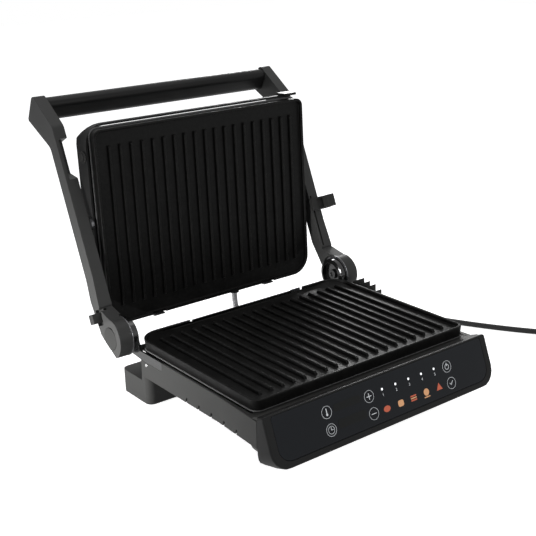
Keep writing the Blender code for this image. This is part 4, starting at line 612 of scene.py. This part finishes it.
housings = {
    "base_housing": ("baseShell", "base", charcoal, 0.0006),
    "bottom_cover": ("underCover", "base", charcoal, 0.0006),
    "front_fascia": ("frontFascia", "base", bezelPlastic, 0.0005),
    "hinge_bracket_left": ("leftEar", "base", cupPlastic, 0.0006),
    "hinge_bracket_right": ("rightEar", "base", cupPlastic, 0.0006),
    "height_rack": ("toothedRack", "base", charcoal, 0.0004),
    "arm_left": ("leftArm", "lid", armPlastic, 0.0012),
    "arm_right": ("rightArm", "lid", armPlastic, 0.0012),
    "hinge_cap_left": ("leftHingeCap", "lid", charcoal, 0.0003),
    "hinge_cap_right": ("rightHingeCap", "lid", charcoal, 0.0003),
    "handle_bar": ("handleBar", "lid", handlePlastic, 0.0004),
    "lock_button": ("lockButton", "lock", charcoal, 0.0008),
    "height_clip": ("heightClip", "clip", charcoal, 0.0006),
    "upper_housing": ("upperShell", "upper", shellPlastic, 0.0012),
    "tilt_boss_left": ("leftTiltBoss", "upper", charcoal, 0.0004),
    "tilt_boss_right": ("rightTiltBoss", "upper", charcoal, 0.0004),
    "plate_latch": ("plateLatch", "latch", blackPlastic, 0.0012),
    "hinge_ring_left": ("leftHingeRing", "base", steel, 0.00025),
    "hinge_ring_right": ("rightHingeRing", "base", steel, 0.00025),
    "hinge_screw_left": ("leftHingeScrew", "base", hingeScrewSteel, 0.0003),
    "hinge_screw_right": ("rightHingeScrew", "base", hingeScrewSteel, 0.0003),
    "bracket_screw_left": ("leftBracketScrew", "base", screwSteel, 0.0002),
    "bracket_screw_right": ("rightBracketScrew", "base", screwSteel, 0.0002),
    "front_foot_left": ("leftFoot", "base", rubber, 0.0006),
    "front_foot_right": ("rightFoot", "base", rubber, 0.0006),
}
for node, (name, body, material, rounding) in housings.items():
    takeOver(node, name, body, material, rounding)
print("bodies taken over")


# Grill plates: dished casting, ribs, corner facets, notches for the hooks, machined edge

plateSizes = {
    "width": 0.290, "height": 0.0125, "floor": 0.0081, "wall": 0.0032, "rimSpread": 1.0135,
    "frontCorner": 0.009, "rearCorner": 0.024, "frontSteps": 7, "rearSteps": 12,
    "crest": 0.0012, "crestSteps": 4, "fillet": 0.0010, "filletSteps": 3,
    "overhang": 0.0016, "flange": 0.0011, "flangeRounding": 0.0003,
    "ribs": 19, "pitch": 0.01418, "foot": 0.0042, "top": 0.0021, "ribTop": -0.0009, "rearMargin": 0.020,
    "tipSlope": 0.0015, "ribRounding": 0.0006, "ribSteps": 4, "sunk": 0.0004,
    "facetSide": 0.028, "facetRear": 0.048, "facetSink": 0.0015, "facetRise": 0.0012, "facetSteps": 8,
    "notchX": (-0.0815, 0.0815), "notchWidth": 0.0185, "notchDrop": 0.0040, "notchReach": 0.0065,
    "rearDip": 0.0014, "dipMargin": 0.001, "overcut": 0.01,
    "plateCrease": 40, "flangeCrease": 30, "facetCrease": 30,
}
plates = {
    "lower_plate": {
        "name": "lowerPlate", "body": "lower_grill_plate", "depth": 0.215, "ribFront": 0.0150,
        "frontOverhang": 0.0002, "stands": gridToWorld, "finish": lowerCoating},
    "upper_plate": {
        "name": "upperPlate", "body": "upper_grill_plate", "depth": 0.225, "ribFront": 0.0188,
        "frontOverhang": 0.0016, "stands": upperToWorld, "finish": upperCoating},
}


def roundedSlab(name, low, high, frontCorner, rearCorner):
    size = Vector(high) - Vector(low)
    near = meshing["near"]
    bpy.ops.mesh.primitive_cube_add(size=1, location=(Vector(low) + Vector(high)) / 2)
    slab = bpy.context.object
    slab.name = name
    slab.scale = size
    settle(slab)
    middle = (low[1] + high[1]) / 2
    corners = ((frontCorner, plateSizes["frontSteps"], False), (rearCorner, plateSizes["rearSteps"], True))
    for radius, steps, rear in corners:
        openMesh(slab, "EDGE")
        pickEdges(slab, lambda a, b: abs(a.z - b.z) > size.z / 2 and abs(abs(a.x) - size.x / 2) < near
                  and (a.y > middle) == rear)
        bpy.ops.mesh.bevel(offset=radius, segments=steps, affect="EDGES")
        bpy.ops.object.mode_set(mode="OBJECT")
    return slab


def carve(piece, low, high):    # a box taken out of a piece
    bpy.ops.object.select_all(action="DESELECT")
    bpy.ops.mesh.primitive_cube_add(size=1, location=(Vector(low) + Vector(high)) / 2)
    cutter = bpy.context.object
    cutter.scale = Vector(high) - Vector(low)
    settle(cutter)
    hold(piece)
    step = piece.modifiers.new("carve", "BOOLEAN")
    step.object = cutter
    step.solver = "EXACT"
    bpy.ops.object.modifier_apply(modifier="carve")
    bpy.data.objects.remove(cutter)


def makeRib(front, rear):
    size = plateSizes
    low = size["floor"] - size["height"] - size["sunk"]
    high = size["ribTop"]
    crownEdge = high - meshing["near"]
    bpy.ops.mesh.primitive_cube_add(size=1, location=(0, (front + rear) / 2, (low + high) / 2))
    rib = bpy.context.object
    rib.name = "rib"
    rib.scale = (size["foot"], rear - front, high - low)
    settle(rib)
    openMesh(rib)
    pickFaces(rib, lambda centre, normal: normal.z > meshing["facingUp"])
    length = rear - front
    bpy.ops.transform.resize(
        value=(size["top"] / size["foot"], (length - size["tipSlope"] * 2) / length, 1),
        center_override=(0, (front + rear) / 2, high))
    bpy.ops.mesh.select_mode(type="EDGE")
    pickEdges(rib, lambda a, b: a.z > crownEdge or b.z > crownEdge)
    bpy.ops.mesh.bevel(offset=size["ribRounding"], segments=size["ribSteps"], affect="EDGES")
    closeMesh(rib)
    return rib


def makeRibs(front, rear):    # one rib modelled, the others copied, each with its own mesh
    size = plateSizes
    first = makeRib(front, rear)
    ribs = [first]
    while len(ribs) < size["ribs"]:
        copy = bpy.data.objects.new("rib", first.data.copy())
        scene.collection.objects.link(copy)
        ribs.append(copy)
    for index, rib in enumerate(ribs):
        rib.location.x = (index - (size["ribs"] - 1) / 2) * size["pitch"]
        settle(rib)
    return ribs


def makeFacet(side, depth):    # sloping corner between the floor and the rear walls
    size = plateSizes
    sunk, near = size["sunk"], meshing["near"]
    half, wall = size["width"] / 2 - size["wall"] + sunk, size["wall"] - sunk
    floor = size["floor"] - size["height"]
    low = Vector((half - size["facetRear"], depth - wall - size["facetSide"], floor - sunk))
    high = Vector((half, depth - wall, -size["facetSink"]))
    bpy.ops.mesh.primitive_cube_add(size=1, location=(low + high) / 2)
    facet = bpy.context.object
    facet.scale = high - low
    settle(facet)
    openMesh(facet, "EDGE")
    pickEdges(facet, lambda a, b: abs(a.z - b.z) > sunk and a.x > half - near and a.y > high.y - near)
    bpy.ops.mesh.bevel(offset=size["rearCorner"] - wall, segments=size["facetSteps"], affect="EDGES")
    first, second = Vector((low.x, high.y, floor)), Vector((half, low.y, floor))
    third = Vector((half, high.y, high.z + size["facetRise"]))
    normal = (second - first).cross(third - first).normalized()
    normal = normal if normal.z > 0 else -normal
    bpy.ops.mesh.select_all(action="SELECT")
    bpy.ops.mesh.bisect(plane_co=first, plane_no=normal, use_fill=True, clear_outer=True)
    closeMesh(facet, size["facetCrease"])
    if side < 0:
        facet.scale = (-1, 1, 1)
        settle(facet)
        openMesh(facet)
        closeMesh(facet, size["facetCrease"])
    return facet


def makeDish(name, depth):    # slab with spreading walls, hook notches and a dipped rear rim
    size = plateSizes
    half, floor, overcut = size["width"] / 2, size["floor"] - size["height"], size["overcut"]
    dish = roundedSlab(
        name, (-half, 0, -size["height"]), (half, depth, 0), size["frontCorner"], size["rearCorner"])
    openMesh(dish)
    pickFaces(dish, lambda centre, normal: normal.z > meshing["facingUp"])
    bpy.ops.transform.resize(value=(size["rimSpread"], 1, 1), center_override=(0, depth / 2, 0))
    bpy.ops.mesh.inset(thickness=size["wall"])
    bpy.ops.mesh.extrude_region_move(TRANSFORM_OT_translate={"value": (0, 0, floor)})
    bpy.ops.object.mode_set(mode="OBJECT")
    for x in size["notchX"]:
        carve(dish, (x - size["notchWidth"] / 2, depth - size["notchReach"], -size["notchDrop"]),
              (x + size["notchWidth"] / 2, depth + overcut, overcut))
    carve(dish, (size["notchX"][0], depth - size["wall"] - size["dipMargin"], -size["rearDip"]),
          (size["notchX"][1], depth + overcut, overcut))
    near = meshing["near"]
    edges = ((0.0, size["crest"], size["crestSteps"]), (floor, size["fillet"], size["filletSteps"]))
    for height, width, steps in edges:
        openMesh(dish, "EDGE")
        pickEdges(dish, lambda a, b: abs(a.z - height) < near and abs(b.z - height) < near)
        bpy.ops.mesh.bevel(offset=width, segments=steps, affect="EDGES")
        bpy.ops.object.mode_set(mode="OBJECT")
    openMesh(dish)
    closeMesh(dish)
    return dish


def makePlate(node, name, body, depth, ribFront, frontOverhang, stands, finish):
    size = plateSizes
    half, over = size["width"] / 2, size["overhang"]
    bpy.ops.object.select_all(action="DESELECT")
    parts = [makeDish(name, depth)]
    bpy.ops.object.select_all(action="DESELECT")
    parts += makeRibs(ribFront, depth - size["rearMargin"])
    parts += [makeFacet(side, depth) for side in (-1, 1)]
    plate = joinAll(parts, name)
    evenNormals(plate, size["plateCrease"])
    moveTo(plate, stands)
    dress(plate, body, finish, nodeSlot[node], node)
    edge = roundedSlab(
        name + "Edge", (-half - over, -frontOverhang, -size["height"]),
        (half + over, depth + over, size["flange"] - size["height"]),
        size["frontCorner"] + over, size["rearCorner"] + over)
    addRounding(edge, size["flangeRounding"])
    evenNormals(edge, size["flangeCrease"])
    moveTo(edge, stands)
    dress(edge, body, machinedEdge, "tinned_sheet")


for node, sizes in plates.items():
    makePlate(node, **sizes)
print("grill plates ready")


# Panel marks: plain signs and numbers, laid on the glass

panelMarks = {
    "lift": 0.00004, "thick": 0.00012, "line": 0.00036, "ringRadius": 0.0063,
    "barRounding": 0.3, "barSteps": 3, "smoothAngle": 20,
    "dotX": (-0.0063, 0.0125, 0.0311, 0.0499, 0.0688), "dotY": -0.0160, "dotRadius": 0.0013, "dotPoints": 20,
    "numberDrop": 0.0058, "numberHeight": 0.0042,
    "menuX": (-0.0056, 0.0140, 0.0324, 0.0513, 0.0706), "menuY": -0.0367,
    "windows": (((-0.0720, -0.0200), (-0.0365, -0.0125)), ((-0.0700, -0.0375), (-0.0325, -0.0285))),
}


def thicken(piece):
    openMesh(piece)
    bpy.ops.mesh.select_all(action="SELECT")
    bpy.ops.mesh.extrude_region_move(TRANSFORM_OT_translate={"value": (0, 0, panelMarks["thick"])})
    closeMesh(piece, panelMarks["smoothAngle"])


def disc(x, y, radius, points, flatten=1.0):
    bpy.ops.mesh.primitive_circle_add(
        vertices=points, radius=radius, fill_type="NGON", location=(x, y, panelMarks["lift"]))
    piece = bpy.context.object
    piece.scale = (1, flatten, 1)
    settle(piece)
    thicken(piece)
    return piece


def ring(x, y, radius, line, points=28):
    bpy.ops.mesh.primitive_circle_add(
        vertices=points, radius=radius, fill_type="NGON", location=(x, y, panelMarks["lift"]))
    piece = bpy.context.object
    settle(piece)
    openMesh(piece)
    bpy.ops.mesh.select_all(action="SELECT")
    bpy.ops.mesh.inset(thickness=line)
    bpy.ops.mesh.delete(type="FACE")
    bpy.ops.object.mode_set(mode="OBJECT")
    thicken(piece)
    return piece


def bar(x, y, width, height, turn=0.0):
    size = panelMarks
    thick = size["thick"]
    bpy.ops.mesh.primitive_cube_add(
        size=1, location=(x, y, size["lift"] + thick / 2), rotation=(0, 0, turn))
    piece = bpy.context.object
    piece.scale = (width, height, thick)
    settle(piece)
    openMesh(piece, "EDGE")
    pickEdges(piece, lambda a, b: abs(a.z - b.z) > thick / 2)
    bpy.ops.mesh.bevel(
        offset=min(width, height) * size["barRounding"], segments=size["barSteps"], affect="EDGES")
    closeMesh(piece, size["smoothAngle"])
    return piece


def number(x, y, body, height):
    bpy.ops.object.text_add(location=(x, y, panelMarks["lift"]))
    text = bpy.context.object
    text.data.body = body
    text.data.size = height
    text.data.align_x = "CENTER"
    text.data.align_y = "CENTER"
    text.data.extrude = panelMarks["thick"] / 2
    hold(text)
    bpy.ops.object.convert(target="MESH")
    settle(text)
    return text


# A ring's middle on the glass, then what stands in it: maker, offset from the middle, sizes
ringSigns = {
    "pointer": ((-0.0808, -0.0173), (bar, 0, 0.0012, 0.0011, 0.0052), (disc, 0, -0.0024, 0.0013, 20)),
    "clock": (
        (-0.0800, -0.0353), (bar, 0, 0.0014, 0.0006, 0.0034), (bar, 0.0011, 0, 0.0026, 0.0006),
        (ring, 0, 0, 0.0040, 0.0004)),
    "plus": ((-0.0249, -0.0181), (bar, 0, 0, 0.0066, 0.0008), (bar, 0, 0, 0.0008, 0.0066)),
    "minus": ((-0.0237, -0.0363), (bar, 0, 0, 0.0066, 0.0008)),
    "power": ((0.0879, -0.0188), (ring, 0, -0.0003, 0.0030, 0.0006), (bar, 0, 0.0022, 0.0007, 0.0036)),
    "tick": (
        (0.0891, -0.0373), (bar, -0.0015, -0.0006, 0.0030, 0.0007, -0.8),
        (bar, 0.0008, 0.0003, 0.0054, 0.0007, 0.85)),
}

# The ink, then each part of the menu's plain signs: maker, column, offset up, sizes
menuSigns = {
    "redMenuSigns": (
        redInk, (disc, 0, 0, 0.0046, 28, 0.70), (bar, 2, 0.0022, 0.0084, 0.0016),
        (bar, 2, -0.0022, 0.0084, 0.0016), (disc, 4, 0, 0.0050, 3)),
    "orangeMenuSigns": (
        orangeInk, (bar, 1, 0, 0.0078, 0.0066), (disc, 3, 0.0006, 0.0038, 24),
        (bar, 3, -0.0044, 0.0084, 0.0011), (bar, 2, 0, 0.0084, 0.0012)),
}


def layOnPanel(parts, name, material):
    piece = joinAll(parts, name)
    moveTo(piece, panelToWorld)
    dress(piece, "base", material, "panel_glass")


def makePanelMarks():
    size = panelMarks
    white = [ring(*middle, size["ringRadius"], size["line"]) for middle, *_ in ringSigns.values()]
    for (x, y), *parts in ringSigns.values():
        white += [make(x + across, y + up, *shape) for make, across, up, *shape in parts]
    dots = [disc(x, size["dotY"], size["dotRadius"], size["dotPoints"]) for x in size["dotX"]]
    layOnPanel(dots, "indicatorDots", indicatorLight)
    for index, x in enumerate(size["dotX"]):
        white.append(number(x, size["dotY"] - size["numberDrop"], str(index + 1), size["numberHeight"]))
    layOnPanel(white, "panelSigns", whiteInk)
    for name, (ink, *parts) in menuSigns.items():
        made = [make(size["menuX"][column], size["menuY"] + up, *shape) for make, column, up, *shape in parts]
        layOnPanel(made, name, ink)
    panes = [
        bar((left + right) / 2, (low + high) / 2, right - left, high - low)
        for (left, low), (right, high) in size["windows"]]
    layOnPanel(panes, "displayPanes", displayGlass)


makePanelMarks()
print("panel marks ready")


# Stage: floor, light and world

studio = {
    "world": 0.22, "worldTint": (0.95, 0.97, 1.0), "backdrop": (1, 1, 1), "floorGlow": 0.88,
    "floorSize": 8, "floorDrop": 0.0003, "floorPaint": 0.86, "floorRoughness": 0.9, "floorSpecular": 0.1,
}
lamps = {
    "keyLeft": {
        "place": (-0.90, 0.04, 0.12), "target": (-0.16, 0.03, 0.06), "size": (0.26, 0.22),
        "power": 0.72, "spread": 36},
    "topSoft": {
        "place": (0.2, 0.1, 1.7), "target": (0, 0, 0.1), "size": (1.3, 0.9), "power": 7.0, "spread": 180},
    "rearRight": {
        "place": (0.9, 1.0, 0.55), "target": (0.08, -0.05, 0.07), "size": (0.5, 0.3),
        "power": 0.8, "spread": 60},
    "frontFill": {
        "place": (0.2, -1.9, 0.9), "target": (0, 0, 0.1), "size": (1.2, 0.9), "power": 10.0, "spread": 180},
}


def makeWorld():
    world = bpy.data.worlds.new("studio")
    world.use_nodes = True
    sky = NodeTree(world.node_tree)
    plain = sky.tree.nodes["Background"]
    plain.inputs["Color"].default_value = (*studio["worldTint"], 1)
    plain.inputs["Strength"].default_value = studio["world"]
    white = sky.node("ShaderNodeBackground", None, {"Color": (*studio["backdrop"], 1)})
    sky.finishWith("World Output", Sock(sky.tree, plain.outputs[0]), white)
    scene.world = world


def makeFloor():
    bpy.ops.mesh.primitive_plane_add(size=studio["floorSize"], location=(0, 0, -studio["floorDrop"]))
    floor = bpy.context.object
    floor.name = "studioFloor"
    paintwork = grey(studio["floorPaint"])
    made = Finish("floorPaint", paintwork, studio["floorRoughness"], specular=studio["floorSpecular"])
    paintOnly = Sock(made.tree, made.shader.outputs[0])
    glow = made.node("ShaderNodeEmission", None, {
        "Color": (*studio["backdrop"], 1), "Strength": studio["floorGlow"]})
    glowing = made.node("ShaderNodeAddShader", None, {0: paintOnly, 1: glow})
    made.finishWith("Material Output", paintOnly, glowing)
    paint(floor, made.material)


def areaLight(name, place, target, size, power, spread):
    data = bpy.data.lights.new(name, "AREA")
    data.shape = "RECTANGLE"
    data.size, data.size_y = size
    data.energy = power
    data.spread = math.radians(spread)
    lamp = bpy.data.objects.new(name, data)
    lamp.location = place
    lamp.rotation_euler = (Vector(target) - Vector(place)).to_track_quat("-Z", "Y").to_euler()
    scene.collection.objects.link(lamp)


makeWorld()
makeFloor()
for name, sizes in lamps.items():
    areaLight(name, **sizes)
scene.view_settings.view_transform = "Standard"
print("stage ready")
